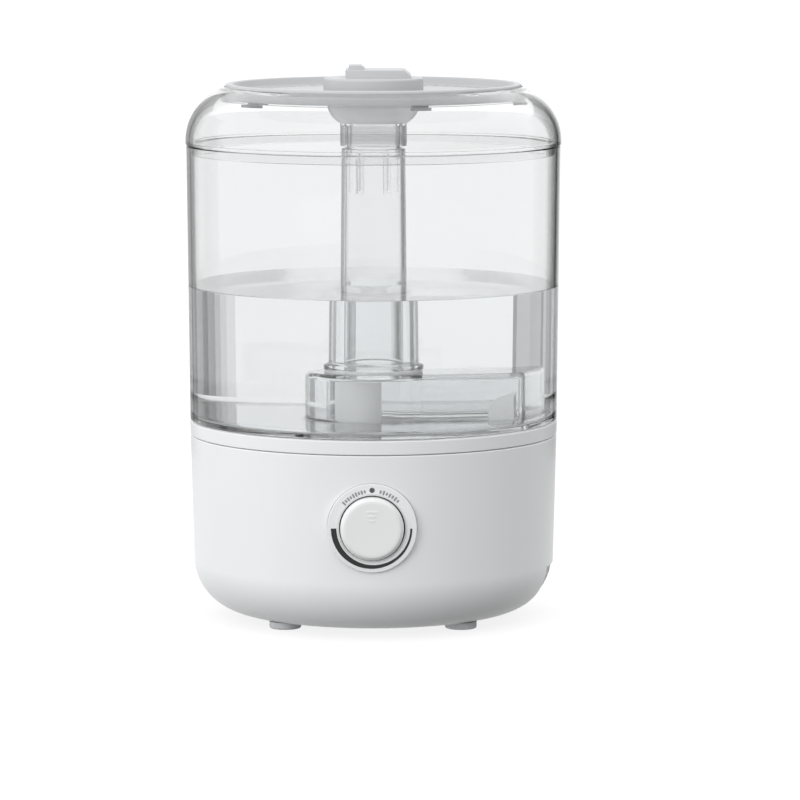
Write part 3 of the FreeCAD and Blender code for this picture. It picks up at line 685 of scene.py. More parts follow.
def make_object(name: str, points: Array, faces: Array, finish: Finish, body: str,
                shadow: bool) -> bpy.types.Object:
    """Make a smooth mesh object from points and four-sided faces, facing outwards.

    The signed volume is the sum over the faces of the dot product of one corner with the cross
    products of the next two and of the two after; where it is negative, every face is turned
    round.

    Args:
        name: The piece's name.
        points: Rows of (x, y, z).
        faces: Rows of four corner numbers.
        finish: The finish it gets.
        body: The body it rides on, or nothing where it is blended between two.
        shadow: Whether it blocks light.

    Returns:
        The new object.
    """
    first, second, third, fourth = (points[faces[:, k]] for k in range(4))
    fan = np.cross(second, third) + np.cross(third, fourth)
    if np.einsum("ij,ij->i", first, fan).sum() < 0:
        faces = faces[:, ::-1]
    mesh = bpy.data.meshes.new(name)
    mesh.vertices.add(len(points))
    mesh.vertices.foreach_set("co", points.ravel())
    mesh.loops.add(faces.size)
    mesh.loops.foreach_set("vertex_index", faces.ravel().astype(np.int32))
    mesh.polygons.add(len(faces))
    mesh.polygons.foreach_set("loop_start", np.arange(0, faces.size, 4, dtype=np.int32))
    mesh.polygons.foreach_set("use_smooth", np.full(len(faces), True))
    mesh.update(calc_edges=True)
    mesh.validate()
    mesh.set_sharp_from_angle(angle=SMOOTH_LIMIT)
    made = bpy.data.objects.new(name, mesh)
    bpy.context.collection.objects.link(made)
    made.data.materials.append(finish.material)
    made.visible_shadow = shadow
    if body:
        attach(made, body)
    log.info("%s: %d faces", name, len(faces))
    return made


def lathe(name: str, line: Array, finish: Finish, body: str, segments: int,
          shadow: bool = True) -> bpy.types.Object:
    """Turn a closed line of (radius, height) about the body's vertical axis.

    Each point is (r cos a, r sin a, z), with the angle a running evenly round.

    Args:
        name: The piece's name.
        line: The closed line, in metres.
        finish: The finish it gets.
        body: The body it rides on.
        segments: Steps round the axis.
        shadow: Whether it blocks light.

    Returns:
        The new object.
    """
    angle = np.linspace(0, 2 * np.pi, segments, endpoint=False)
    points = stacked((round_ring(np.maximum(line[:, 0], 1e-6), angle), line[:, 1]))
    return Surface(name, points).build(finish, body, shadow)


def forward(name: str, line: Array, height: float, finish: Finish,
            body: str) -> bpy.types.Object:
    """Turn a closed line of (radius, reach) about a level axis that points to -Y.

    Each point is (r cos a, -reach, height + r sin a), with the angle a running evenly round.

    Args:
        name: The piece's name.
        line: The closed line, in metres.
        height: The axis's height.
        finish: The finish it gets.
        body: The body it rides on.

    Returns:
        The new object.
    """
    angle = np.linspace(0, 2 * np.pi, 160, endpoint=False)
    radius = np.maximum(line[:, 0], 1e-6)[:, None]
    x = radius * np.cos(angle)
    y = np.broadcast_to(-line[:, 1, None], x.shape)
    points = np.stack([x, y, height + radius * np.sin(angle)], 2)
    return Surface(name, points).build(finish, body)


def prism(outline: Array, low: float, high: float) -> bpy.types.Mesh:
    """Make a closed upright prism.

    Args:
        outline: Rows of (x, y).
        low: The height of its lower face.
        high: The height of its upper face.

    Returns:
        The mesh.
    """
    count = len(outline)
    points = [(x, y, z) for z in (low, high) for x, y in outline]
    sides = [(k, (k + 1) % count, count + (k + 1) % count, count + k) for k in range(count)]
    caps = [tuple(range(count))[::-1], tuple(range(count, 2 * count))]
    mesh = bpy.data.meshes.new("prism")
    mesh.from_pydata(points, [], sides + caps)
    return mesh


def disc(radius: float, x: float = 0.0, y: float = 0.0, steps: int = 96) -> Array:
    """Return a circle's points."""
    angle = np.linspace(0, 2 * np.pi, steps, endpoint=False)
    return np.stack([x + radius * np.cos(angle), y + radius * np.sin(angle)], 1)


def slab(left: float, front: float, right: float, back: float) -> Array:
    """Return a rectangle's corners."""
    return np.array([(left, front), (right, front), (right, back), (left, back)])


def apply_modifiers(made: bpy.types.Object) -> None:
    """Put the result of an object's modifiers in its mesh."""
    bpy.context.view_layer.update()
    graph = bpy.context.evaluated_depsgraph_get()
    made.data = bpy.data.meshes.new_from_object(made.evaluated_get(graph))
    made.modifiers.clear()


def carve(made: bpy.types.Object,
          cutters: Sequence[tuple[bpy.types.Mesh, Matrix]]) -> None:
    """Cut closed meshes out of an object and mark its sharp edges.

    Args:
        made: The object that is cut.
        cutters: Meshes and their placements, each taken away in turn.
    """
    for mesh, place in cutters:
        tool = bpy.data.objects.new("cutter", mesh)
        bpy.context.collection.objects.link(tool)
        tool.matrix_world = place
        step = made.modifiers.new("cut", "BOOLEAN")
        step.operation = "DIFFERENCE"
        step.solver = "EXACT"
        step.object = tool
        apply_modifiers(made)
        bpy.data.objects.remove(tool)
    made.data.set_sharp_from_angle(angle=CARVED_LIMIT)


def soften(node: str, width: float, finish: Finish, name: str) -> bpy.types.Object:
    """Copy a frame node's mesh, join its flat faces and round its edges; it replaces the node.

    Args:
        node: The node's name.
        width: The rounding's width in metres.
        finish: The finish it gets.
        name: The new piece's name.

    Returns:
        The new object.
    """
    source = frame["nodes"][node]
    body = body_of(source)[0]
    work = bmesh.new()
    work.from_mesh(source.data)
    bmesh.ops.transform(work, matrix=source.matrix_world, verts=work.verts)
    bmesh.ops.remove_doubles(work, verts=work.verts, dist=2e-6)
    bmesh.ops.dissolve_limit(work, angle_limit=math.radians(0.6), verts=work.verts,
                             edges=work.edges)
    mesh = bpy.data.meshes.new(name)
    work.to_mesh(mesh)
    work.free()
    made = bpy.data.objects.new(name, mesh)
    bpy.context.collection.objects.link(made)
    step = made.modifiers.new("round", "BEVEL")
    step.width = width
    step.segments = 3
    step.limit_method = "ANGLE"
    step.angle_limit = BEVEL_LIMIT
    apply_modifiers(made)
    made.data.polygons.foreach_set("use_smooth", np.full(len(made.data.polygons), True))
    made.data.set_sharp_from_angle(angle=BEVEL_LIMIT)
    made.data.materials.clear()
    made.data.materials.append(finish.material)
    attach(made, body)
    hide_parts(node)
    return made


# ---- sub-assemblies ------------------------------------------------------------------------


@dataclass
class CadPieces:
    """The frame's own pieces; they keep their shape and get a finish by slot or by name."""

    slots: dict[str, Finish] = field(default_factory=lambda: {
        finish.value.name: finish for finish in Finish})
    special: dict[str, Finish] = field(default_factory=lambda: {
        "mist_sleeve": Finish.THIN, "mist_collar": Finish.COLLAR})

    def dress(self) -> None:
        """Give every frame node its finish; clear ones let the light through."""
        for entry in frame["record"]["subparts"]:
            piece = frame["nodes"][entry["node"]]
            finish = self.special.get(entry["node"], self.slots[entry["material_slot"]])
            piece.data.materials.clear()
            piece.data.materials.append(finish.material)
            piece.visible_shadow = not isinstance(finish.value, ClearPlastic)
        log.info("dressed %d frame nodes", len(frame["nodes"]))


@dataclass
class Base:
    """White base: shell with its openings, tray, softened small parts and the ring's marks."""

    corner: float = 26.5 * MM
    corner_height: float = 30.0 * MM
    waist: float = 91.4 * MM
    seam: float = 93.3 * MM
    seam_radius: float = 93.0 * MM
    wall: float = 2.6 * MM
    knob_height: float = 57.5 * MM
    control_hole: float = 22.25 * MM
    inlet_height: float = 38.0 * MM
    inlet_hole: float = 5.4 * MM
    window_angle: float = 16.2
    mark_circle: float = 18.5
    mark_width: float = 0.5

    def shell(self) -> None:
        """Turn the shell's line, then cut the control hole, the inlet and the intake."""
        centre = (self.waist - self.corner, self.corner_height)
        inner = self.corner - self.wall
        line = rounded([
            (54.0 * MM, 3.5 * MM, 0.5 * MM),
            *arc_line(centre, self.corner, -90.0, 0.0, 40),
            (self.seam_radius, self.seam, 0.7 * MM),
            (self.seam_radius - self.wall, self.seam, 0.3 * MM),
            *arc_line(centre, inner, 0.0, -90.0, 24),
            (58.0 * MM, 6.1 * MM),
            (58.0 * MM, 9.4 * MM),
            (43.0 * MM, 9.4 * MM),
            (43.0 * MM, 6.4 * MM),
            (54.0 * MM, 6.4 * MM),
        ])
        made = lathe("base_skin", line, Finish.SHELL, "base", 360)
        forwards = Matrix.Rotation(math.pi / 2, 4, "X")
        control = Matrix.Translation((0, 0, self.knob_height)) @ forwards
        inlet = Matrix.Translation((0, 0, self.inlet_height)) @ forwards
        slope = math.tan(math.radians(self.window_angle))
        near, far = 60.0 * MM, 100.0 * MM
        window = np.array([(near, -near * slope), (far, -far * slope), (far, far * slope),
                           (near, near * slope)])
        carve(made, [
            (prism(disc(self.control_hole), near, far), control),
            (prism(disc(self.inlet_hole, steps=48), -far, -near), inlet),
            (prism(window, 8.0 * MM, 28.0 * MM), AT_ORIGIN),
        ])
        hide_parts("base_shell")

    def tray(self) -> None:
        """Turn the tray's line, then cut the mist hole and the air hole."""
        line = rounded([
            (1e-6, 63.6 * MM),
            (44.4 * MM, 63.6 * MM, 1.0 * MM),
            (44.4 * MM, 88.6 * MM, 1.0 * MM),
            (90.0 * MM, 88.6 * MM, 0.3 * MM),
            (90.0 * MM, 93.6 * MM),
            (93.0 * MM, 93.6 * MM, 0.5 * MM),
            (93.2 * MM, 100.6 * MM, 0.6 * MM),
            (87.6 * MM, 100.6 * MM, 0.8 * MM),
            (87.6 * MM, 91.0 * MM, 1.6 * MM),
            (42.0 * MM, 91.0 * MM, 1.4 * MM),
            (42.0 * MM, 66.0 * MM, 2.0 * MM),
            (1e-6, 66.0 * MM),
        ])
        made = lathe("tray_skin", line, Finish.SHELL, "base", 320)
        carve(made, [
            (prism(disc(9.0 * MM, -8.0 * MM, steps=64), 60 * MM, 70 * MM), AT_ORIGIN),
            (prism(slab(46.6 * MM, -7.4 * MM, 55.4 * MM, 7.4 * MM), 85 * MM, 95 * MM),
             AT_ORIGIN),
        ])
        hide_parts("water_tray")

    def knob(self) -> None:
        """Turn the knob's softly bevelled line and lay three low strokes on its face."""
        line = rounded([
            (3.0 * MM, 89.2 * MM),
            (14.2 * MM, 89.2 * MM, 0.4 * MM),
            (15.6 * MM, 90.6 * MM, 0.6 * MM),
            (15.6 * MM, 95.6 * MM, 1.0 * MM),
            (14.1 * MM, 97.2 * MM, 1.2 * MM),
            (12.9 * MM, 97.4 * MM, 2.0 * MM),
            (1e-6, 97.4 * MM),
            (1e-6, 95.0 * MM),
            (3.0 * MM, 95.0 * MM),
        ])
        made = forward("dial", line, self.knob_height, Finish.KNOB, "control_dial")
        rows = [(0.0, 8.65 - 2.2 * k, half, 0.45, 0.0)
                for k, half in enumerate((2.7, 2.0, 1.4))]
        strokes = self.strokes("dial_strokes", rows, 97.38, 97.62, Finish.KNOB,
                               "control_dial")
        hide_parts("knob")
        log.info("%s carries %s", made.name, strokes.name)

    def strokes(self, name: str, rows: Sequence[tuple[float, ...]], back: float, front: float,
                finish: Finish, body: str) -> bpy.types.Object:
        """Make round-ended bars that stand a little proud of the front.

        A bar's outline is two half circles joined by straight sides; it is turned about its
        middle and placed on the knob's axis system.

        Args:
            name: The piece's name.
            rows: (across, up, half length, half width, turn in degrees) in millimetres.
            back: How far forward the bars start, in millimetres.
            front: How far forward they end.
            finish: The finish they get.
            body: The body they ride on.

        Returns:
            The new object.
        """
        half_turn = np.linspace(-np.pi / 2, np.pi / 2, 7)
        points = []
        faces = []
        for across, up, half, width, turn in rows:
            reach = max(half - width, 0.0)
            right = np.stack([reach + width * np.cos(half_turn), width * np.sin(half_turn)], 1)
            flat = np.vstack([right, -right])
            spin = math.radians(turn)
            x = across + flat[:, 0] * math.cos(spin) - flat[:, 1] * math.sin(spin)
            z = up + flat[:, 0] * math.sin(spin) + flat[:, 1] * math.cos(spin)
            start = len(points)
            count = len(flat)
            for depth in (back, front):
                points += [(a * MM, -depth * MM, self.knob_height + b * MM)
                           for a, b in zip(x, z)]
            faces += [(start + k, start + (k + 1) % count, start + count + (k + 1) % count,
                       start + count + k) for k in range(count)]
            faces += [tuple(range(start, start + count))[::-1],
                      tuple(range(start + count, start + 2 * count))]
        mesh = bpy.data.meshes.new(name)
        mesh.from_pydata(points, [], faces)
        work = bmesh.new()
        work.from_mesh(mesh)
        bmesh.ops.recalc_face_normals(work, faces=work.faces)
        work.to_mesh(mesh)
        work.free()
        made = bpy.data.objects.new(name, mesh)
        bpy.context.collection.objects.link(made)
        made.data.materials.append(finish.material)
        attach(made, body)
        return made

    def marks(self) -> None:
        """Lay two rows of short upright bars along the top of the ring, of varied heights."""
        rows = []
        for index in range(9):
            rows.append((-48.0 + 4.6 * index, (1.2, 0.9, 1.08, 0.84, 1.2)[index % 5]))
        for index in range(7):
            rows.append((13.0 + 5.0 * index, (0.96, 1.2, 0.84, 1.08)[index % 4]))
        bars = []
        for angle, half in rows:
            spin = math.radians(angle)
            bars.append((self.mark_circle * math.sin(spin), self.mark_circle * math.cos(spin),
                         half, self.mark_width, 90 - angle))
        self.strokes("ring_marks", bars, 92.97, 93.05, Finish.MARK, "base")

    def build(self) -> None:
        """Build every part of the base."""
        self.shell()
        self.tray()
        self.knob()
        self.marks()
        # The guide and hood get the white brightened as painted light.
        soften("mist_guide", 0.4 * MM, Finish.INNER_PAINTED_BRIGHT, "guide_tube")
        soften("air_hood", 0.6 * MM, Finish.INNER_PAINTED_BRIGHT, "hood_shell")


@dataclass
class Cover:
    """White top cover, coloured grey as painted shade, with its drain slots, and the softened turning cap.
    """

    radius: float = 74.8 * MM
    top: float = 270.6 * MM
    band: float = 262.8 * MM
    floor: float = 266.5 * MM
    slots: int = 60

    def build(self) -> None:
        """Turn the dish's line, cut the drain slots and soften the cap."""
        under = self.floor - 1.6 * MM
        hole = 21.6 * MM
        line = rounded([
            (hole, under),
            (self.radius - 1.8 * MM, under, 0.4 * MM),
            (self.radius - 1.8 * MM, self.band, 0.4 * MM),
            (self.radius, self.band, 0.6 * MM),
            (self.radius, self.top, 1.3 * MM),
            (self.radius - 3.6 * MM, self.top, 1.0 * MM),
            (self.radius - 5.4 * MM, self.floor, 1.4 * MM),
            (hole, self.floor),
        ])
        # Its finish is the cover's white painted down to grey as shade.
        made = lathe("cover_skin", line, Finish.SHADED_COVER, "lid", 360)
        tools = []
        for index in range(self.slots):
            turn = Matrix.Rotation(2 * math.pi * index / self.slots, 4, "Z")
            tools.append((turn, slab(60.0 * MM, -0.9 * MM, 67.0 * MM, 0.9 * MM)))
        carve(made, [(self.comb(tools, under - MM, self.floor + MM), AT_ORIGIN)])
        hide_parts("top_cover")
        # The cap takes the same grey painted shade.
        soften("nozzle", 0.7 * MM, Finish.SHADED_COVER, "mist_cap")

    @staticmethod
    def comb(tools: Sequence[tuple[Matrix, Array]], low: float, high: float) -> bpy.types.Mesh:
        """Make one mesh of turned boxes.

        Args:
            tools: Each box's turn and its outline's four corners.
            low: The height of the boxes' lower faces.
            high: The height of their upper faces.

        Returns:
            The mesh.
        """
        points = []
        faces = []
        for turn, outline in tools:
            start = len(points)
            points += [tuple(turn @ Vector((x, y, z))) for z in (low, high) for x, y in outline]
            faces += [tuple(start + k for k in side) for side in (
                (3, 2, 1, 0), (4, 5, 6, 7), (0, 1, 5, 4), (1, 2, 6, 5), (2, 3, 7, 6),
                (3, 0, 4, 7))]
        mesh = bpy.data.meshes.new("comb")
        mesh.from_pydata(points, [], faces)
        return mesh


@dataclass
class Tank:
    """Clear tank: one closed surface of wall, floor, spigot and air housing."""

    bottom: float = 101.0 * MM
    top: float = 240.0 * MM
    bottom_radius: float = 93.2 * MM
    top_radius: float = 94.6 * MM
    wall: float = 2.2 * MM
    floor: float = 2.4 * MM
    spigot_radius: float = 87.0 * MM
    spigot_bottom: float = 93.3 * MM
    roof: float = 127.0 * MM
    roof_wall: float = 2.0 * MM
    mouth: float = 15.1 * MM
    flat_radius: float = 72.0 * MM
    keyhole: Keyhole = field(default_factory=Keyhole)
    rays: int = 640

    def inner_radius(self, height: float) -> float:
        """Return the wall's inner radius at a height."""
        share = (height - self.bottom) / (self.top - self.bottom)
        return self.bottom_radius + (self.top_radius - self.bottom_radius) * share - self.wall

    def wall_line(self) -> Array:
        """Return the wall's line, from the floor's top round the rim to the underside."""
        top_of_floor = self.bottom + self.floor
        return rounded([
            (self.flat_radius, top_of_floor),
            (self.bottom_radius - self.wall, top_of_floor, 2.6 * MM),
            (self.top_radius - self.wall, self.top, 0.8 * MM),
            (self.top_radius, self.top, 0.8 * MM),
            (self.bottom_radius, self.bottom, 0.7 * MM),
            (self.spigot_radius, self.bottom, 0.3 * MM),
            (self.spigot_radius, self.spigot_bottom, 0.6 * MM),
            (self.spigot_radius - self.floor, self.spigot_bottom, 0.6 * MM),
            (self.spigot_radius - self.floor, self.bottom, 0.3 * MM),
            (self.flat_radius, self.bottom),
        ], closed=False)

    def housing_line(self) -> tuple[Array, Array]:
        """Return the housing's inner line going up and its outer line coming down."""
        inner = rounded([
            (4.0 * MM, self.bottom),
            (-self.roof_wall, self.bottom, 0.4 * MM),
            (-self.roof_wall, self.roof - self.roof_wall, 1.6 * MM),
            (-9.0 * MM, self.roof - self.roof_wall),
        ], closed=False)
        outer = rounded([
            (-9.0 * MM, self.roof),
            (0.0, self.roof, 2.6 * MM),
            (0.0, self.bottom + self.floor, 1.4 * MM),
            (4.0 * MM, self.bottom + self.floor),
        ], closed=False)
        return inner, outer

    def build(self) -> None:
        """Sweep the closed line round the rays: circles for the wall and mouth, the keyhole
        outline, grown by each point's offset, for the housing."""
        angle = np.linspace(0, 2 * np.pi, self.rays, endpoint=False)
        inner, outer = self.housing_line()
        wall = self.wall_line()
        mouth = np.array([(self.mouth, self.roof - self.roof_wall), (self.mouth, self.roof)])
        points = stacked(
            (round_ring(wall[:, 0], angle), wall[:, 1]),
            (self.keyhole.ring(inner[:, 0], angle), inner[:, 1]),
            (round_ring(mouth[:, 0], angle), mouth[:, 1]),
            (self.keyhole.ring(outer[:, 0], angle), outer[:, 1]))
        made = Surface("clear_tank", points).build(Finish.CLEAR, "tank", shadow=False)
        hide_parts("tank_wall", "tank_floor")


@dataclass
class Chimney:
    """Clear chimney with its foot flange."""

    seat: float = 128.2 * MM
    top: float = 238.0 * MM
    foot_radius: float = 17.1 * MM
    top_radius: float = 16.1 * MM
    wall: float = 2.0 * MM
    flange: float = 19.0 * MM

    def build(self) -> None:
        """Turn the chimney's line."""
        inner = self.foot_radius - self.wall
        line = rounded([
            (inner, self.seat),
            (self.flange, self.seat, 0.6 * MM),
            (self.flange, self.seat + 2.6 * MM, 0.8 * MM),
            (self.foot_radius, self.seat + 3.6 * MM, 1.2 * MM),
            (self.top_radius, self.top, 0.7 * MM),
            (self.top_radius - self.wall, self.top, 0.7 * MM),
        ])
        made = lathe("clear_chimney", line, Finish.THIN, "tank", 192, shadow=False)
        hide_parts("chimney")


@dataclass
class Water:
    """Water in the tank; it reaches a little into the plastic so that no air lies between."""

    tank: Tank
    chimney: Chimney
    level: float = 169.5 * MM
    sink: float = 0.35 * MM

    def build(self) -> None:
        """Sweep the water's closed line: surface, wall, floor, housing and chimney."""
        angle = np.linspace(0, 2 * np.pi, self.tank.rays, endpoint=False)
        floor = self.tank.bottom + self.tank.floor - self.sink
        edge = self.tank.inner_radius(self.level) + self.sink
        outside = rounded([
            (60.0 * MM, self.level),
            (edge, self.level, 0.5 * MM),
            (self.tank.inner_radius(floor) + self.sink, floor, 2.6 * MM),
            (self.tank.flat_radius, floor),
        ], closed=False)
        housing = rounded([
            (4.0 * MM, floor),
            (-self.sink, floor, 1.4 * MM),
            (-self.sink, self.tank.roof - self.sink, 2.4 * MM),
            (-6.0 * MM, self.tank.roof - self.sink),
        ], closed=False)
        seat = self.chimney.seat
        tube = rounded([
            (self.chimney.flange - self.sink, self.tank.roof - self.sink),
            (self.chimney.flange - self.sink, seat + 2.4 * MM, 0.8 * MM),
            (self.chimney.foot_radius - self.sink, seat + 3.4 * MM, 1.2 * MM),
            (self.chimney.foot_radius - 0.37 * MM - self.sink, self.level),
        ], closed=False)
        points = stacked(
            (round_ring(outside[:, 0], angle), outside[:, 1]),
            (self.tank.keyhole.ring(housing[:, 0], angle), housing[:, 1]),
            (round_ring(tube[:, 0], angle), tube[:, 1]))
        Surface("tank_water", points).build(Finish.WATER, "tank", shadow=False)


@dataclass
class Lid:
    """Clear ring dome of the lid."""

    radius: float = 95.0 * MM
    bottom: float = 240.3 * MM
    shoulder: float = 241.8 * MM
    corner: float = 28.8 * MM
    wall: float = 2.2 * MM
    skirt: float = 92.0 * MM
    skirt_bottom: float = 235.5 * MM
    opening: float = 75.2 * MM
    hem_bottom: float = 262.0 * MM

    def dome(self, reach: float, radius: float, steps: int, rising: bool) -> Profile:
        """Return the dome's arc about its corner centre.

        Args:
            reach: The radius, from the body's axis, where the arc ends.
            radius: The arc's own radius.
            steps: The number of even steps.
            rising: Whether it runs up from the shoulder or down to it.

        Returns:
            The points in order.
        """
        centre = (self.radius - self.corner, self.shoulder)
        stop = math.degrees(math.acos((reach - centre[0]) / radius))
        if rising:
            return arc_line(centre, radius, 0.0, stop, steps)
        return arc_line(centre, radius, stop, 0.0, steps)

    def build(self) -> None:
        """Turn the dome's line."""
        hem = self.opening + 1.6 * MM
        inner = self.corner - self.wall
        line = rounded([
            (self.skirt, self.bottom, 0.3 * MM),
            (self.radius, self.bottom, 0.3 * MM),
            *self.dome(self.opening, self.corner, 40, True),
            (self.opening, self.hem_bottom, 0.3 * MM),
            (hem, self.hem_bottom, 0.3 * MM),
            *self.dome(hem, inner, 40, False),
            (self.skirt - 1.8 * MM, self.shoulder, 0.5 * MM),
            (self.skirt - 1.8 * MM, self.skirt_bottom, 0.5 * MM),
            (self.skirt - 0.2 * MM, self.skirt_bottom, 0.5 * MM),
        ])
        made = lathe("clear_lid", line, Finish.CLEAR, "lid", 384, shadow=False)
        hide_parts("lid_dome")


@dataclass
class ValveSpring:
    """Wire coil between the valve's cage and its plunger."""

    x: float = -9.0 * MM
    y: float = 48.0 * MM
    low: float = 108.0 * MM
    high: float = 116.4 * MM
    radius: float = 3.7 * MM
    wire: float = 0.45 * MM
    turns: float = 5.0

    def build(self) -> None:
        """Carry a small circle along a helix: the coil's centre line is (R cos t, R sin t,
        pitch t), and the circle spans the radial and vertical directions there."""
        steps = int(self.turns * 36)
        turn = np.linspace(0, 2 * np.pi * self.turns, steps)
        rise = np.linspace(self.low + self.wire, self.high - self.wire, steps)
        around = np.linspace(0, 2 * np.pi, 10, endpoint=False)
        reach = self.radius + self.wire * np.cos(around)[None]
        x = self.x + reach * np.cos(turn)[:, None]
        y = self.y + reach * np.sin(turn)[:, None]
        z = rise[:, None] + self.wire * np.sin(around)[None]
        points = np.stack([x, y, z], 2)
        middle = points.mean(1, keepdims=True)
        capped = np.concatenate([
            np.broadcast_to(middle[:1], points[:1].shape), points,
            np.broadcast_to(middle[-1:], points[-1:].shape)])
        made = Surface("valve_coil", capped, wrap_rows=False).build(Finish.STEEL, "")
        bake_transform(made, "valve", "tank", (self.x, self.y, self.low), (self.x, self.y, self.high))
        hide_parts("valve_spring")


# ---- studio --------------------------------------------------------------------------------


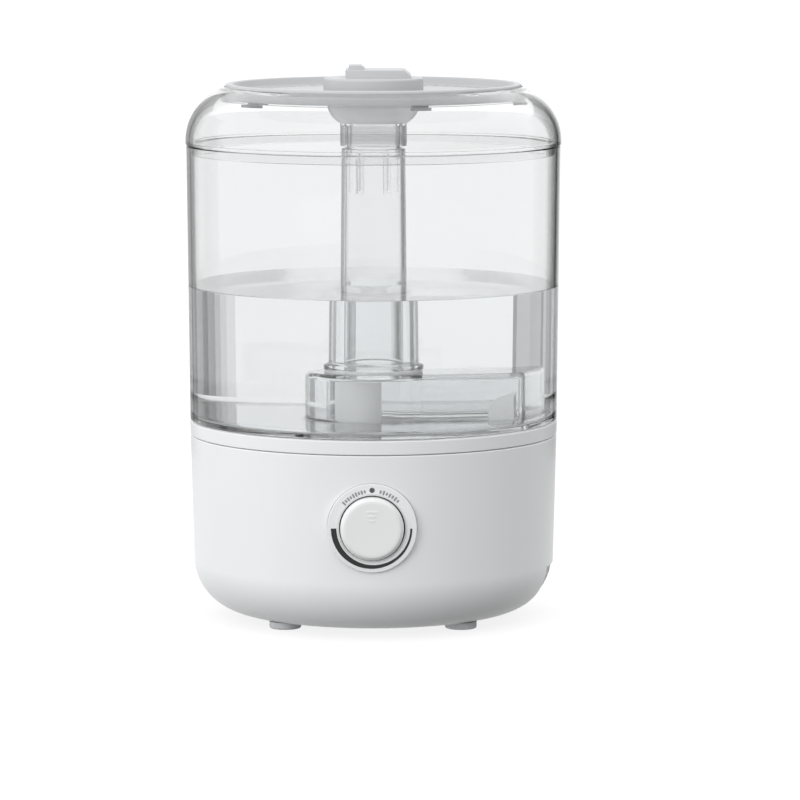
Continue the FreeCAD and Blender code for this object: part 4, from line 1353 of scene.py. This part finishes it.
@dataclass
class Studio:
    """Pale floor, soft light and the camera.

    Places and distances are in metres, the lens in millimetres and angles in degrees. A span of
    flag_spans is (start, stop, brightness), and one of sides is (place on the ramp, brightness).
    """

    distance: float = 2.341
    height: float = 0.393
    tilt: float = 6.90
    lens: float = 208.71
    aside: float = 0.02
    aim_x: float = 0.0134
    sky: float = 0.99
    glow: float = 0.82
    flag_radius: float = 0.6
    flag_height: float = 0.5
    flag_spans: tuple[tuple[float, float, float], ...] = (
        (19.5, 22.5, 0.85), (22.5, 25.0, 0.7), (25.0, 27.6, 0.5), (27.6, 32.0, 0.25),
        (32.0, 36.0, 0.02), (36.0, 46.0, 0.2), (46.0, 52.0, 0.4), (-22.0, -20.8, 0.3),
        (-27.5, -22.0, 0.55), (-34.0, -27.5, 0.45), (-36.0, -34.0, 0.15), (-45.0, -36.0, 0.5))
    sides: tuple[tuple[float, float], ...] = (
        (0.0, 1.2), (0.2, 1.4), (0.45, 1.38), (0.6, 1.2), (0.85, 0.75), (1.0, 0.2))
    underside: tuple[float, float, float] = (-0.55, 0.05, 0.15)
    dark_side: tuple[float, float, float] = (0.85, -0.53, -0.8)

    def floor(self) -> None:
        """Lay a wide pale floor."""
        reach = 40.0
        corners = np.array([(-reach, -reach, 0), (reach, -reach, 0), (reach, reach, 0),
                            (-reach, reach, 0)], float)
        mesh = bpy.data.meshes.new("floor")
        mesh.from_pydata(corners.tolist(), [], [(0, 1, 2, 3)])
        made = bpy.data.objects.new("floor", mesh)
        bpy.context.collection.objects.link(made)
        shader = Shader("floor_paper")
        tooth = shader.noise(700.0, 3.0, 0.5)
        colour = shader.mix(tooth, rgba(0.20, 0.20, 0.20), rgba(0.22, 0.22, 0.22))
        made.data.materials.append(shader.finish(
            Base_Color=colour, Roughness=1.0, Specular_IOR_Level=0.0,
            Emission_Color=rgba(1.0, 1.0, 1.0), Emission_Strength=self.glow))
        made.visible_diffuse = False

    def world(self) -> None:
        """Light from all round: dim from the front right and from below, bright elsewhere."""
        world = bpy.data.worlds.new("studio")
        bpy.context.scene.world = world
        world.use_nodes = True
        tree = world.node_tree
        tree.nodes.clear()
        out = tree.nodes.new("ShaderNodeOutputWorld")
        back = tree.nodes.new("ShaderNodeBackground")
        place = tree.nodes.new("ShaderNodeTexCoord")
        split = tree.nodes.new("ShaderNodeSeparateXYZ")
        across = tree.nodes.new("ShaderNodeVectorMath")
        across.operation = "DOT_PRODUCT"
        across.inputs[1].default_value = self.dark_side
        tree.links.new(place.outputs["Generated"], across.inputs[0])
        ramp = tree.nodes.new("ShaderNodeValToRGB")
        Shader._fill_ramp(ramp, [(at, rgba(v, v, v)) for at, v in self.sides])
        spread = tree.nodes.new("ShaderNodeMapRange")
        spread.inputs["From Min"].default_value = -1.0
        tree.links.new(place.outputs["Generated"], split.inputs[0])
        tree.links.new(across.outputs["Value"], spread.inputs["Value"])
        tree.links.new(spread.outputs["Result"], ramp.inputs["Fac"])
        lift = tree.nodes.new("ShaderNodeMapRange")
        lift.interpolation_type = "SMOOTHSTEP"
        for key, value in zip(("From Min", "From Max", "To Min"), self.underside):
            lift.inputs[key].default_value = value
        scaled = tree.nodes.new("ShaderNodeVectorMath")
        scaled.operation = "SCALE"
        tree.links.new(split.outputs["Z"], lift.inputs["Value"])
        tree.links.new(ramp.outputs["Color"], scaled.inputs[0])
        tree.links.new(lift.outputs["Result"], scaled.inputs["Scale"])
        tree.links.new(scaled.outputs[0], back.inputs["Color"])
        tree.links.new(back.outputs["Background"], out.inputs["Surface"])
        back.inputs["Strength"].default_value = self.sky

    def area(self, name: str, place: tuple[float, float, float], size: float,
             power: float) -> None:
        """Hang a square soft light that faces the middle of the object.

        Args:
            name: The light's name.
            place: Where it hangs.
            size: The length of its side.
            power: Its power in watts.
        """
        light = bpy.data.lights.new(name, "AREA")
        light.size = size
        light.energy = power
        made = bpy.data.objects.new(name, light)
        bpy.context.collection.objects.link(made)
        made.location = place
        made.visible_glossy = False
        made.visible_transmission = False
        aim = Vector((0.0, 0.0, 0.14)) - Vector(place)
        made.rotation_euler = aim.to_track_quat("-Z", "Y").to_euler()

    def flags(self) -> None:
        """Stand narrow dark flags behind the object, seen only by bent and mirrored rays.

        Each flag is part of an upright cylinder about the axis: its angle is counted from +Y
        towards +X, in degrees.
        """
        paint = {}
        columns = 9
        for index, (start, stop, tone) in enumerate(self.flag_spans):
            angle = np.radians(np.linspace(start, stop, columns))
            flat = np.stack([np.sin(angle), np.cos(angle)], 1) * self.flag_radius
            low = np.column_stack([flat, np.full(len(flat), 0.001)])
            high = np.column_stack([flat, np.full(len(flat), self.flag_height)])
            faces = [(k, k + 1, k + 1 + columns, k + columns) for k in range(columns - 1)]
            mesh = bpy.data.meshes.new(f"flag_{index}")
            mesh.from_pydata(np.vstack([low, high]).tolist(), [], faces)
            made = bpy.data.objects.new(mesh.name, mesh)
            bpy.context.collection.objects.link(made)
            if tone not in paint:
                paint[tone] = Shader(f"flag_cloth_{len(paint)}").finish(
                    Base_Color=rgba(0.0, 0.0, 0.0), Specular_IOR_Level=0.0,
                    Emission_Color=rgba(tone, tone, tone), Emission_Strength=1.0)
            made.data.materials.append(paint[tone])
            made.visible_camera = False
            made.visible_diffuse = False
            made.visible_shadow = False

    def camera(self) -> None:
        """Place the camera and set the view."""
        lens = bpy.data.cameras.new("camera")
        lens.sensor_width = 36.0
        lens.lens = self.lens
        lens.clip_end = 200.0
        made = bpy.data.objects.new("camera", lens)
        bpy.context.collection.objects.link(made)
        made.location = (self.aside, -self.distance, self.height)
        drop = self.distance * math.tan(math.radians(self.tilt))
        aim = Vector((self.aim_x, 0.0, self.height - drop)) - made.location
        made.rotation_euler = aim.to_track_quat("-Z", "Y").to_euler()
        scene = bpy.context.scene
        scene.camera = made
        scene.view_settings.view_transform = "Standard"
        scene.view_settings.exposure = 0.0
        scene.cycles.max_bounces = 24
        scene.cycles.transmission_bounces = 24
        scene.cycles.transparent_max_bounces = 24
        scene.cycles.glossy_bounces = 8

    def build(self) -> None:
        """Set up the whole studio."""
        self.floor()
        self.world()
        self.flags()
        self.area("key", (-1.2, -1.9, 0.55), 1.1, 11.0)
        self.camera()


def main() -> None:
    """Build every assembly in order."""
    logging.basicConfig(level=logging.INFO, format="%(name)s: %(message)s")
    Studio().build()
    CadPieces().dress()
    Base().build()
    tank = Tank()
    chimney = Chimney()
    tank.build()
    chimney.build()
    Water(tank, chimney).build()
    Lid().build()
    Cover().build()
    ValveSpring().build()


if __name__ == "__main__":
    main()
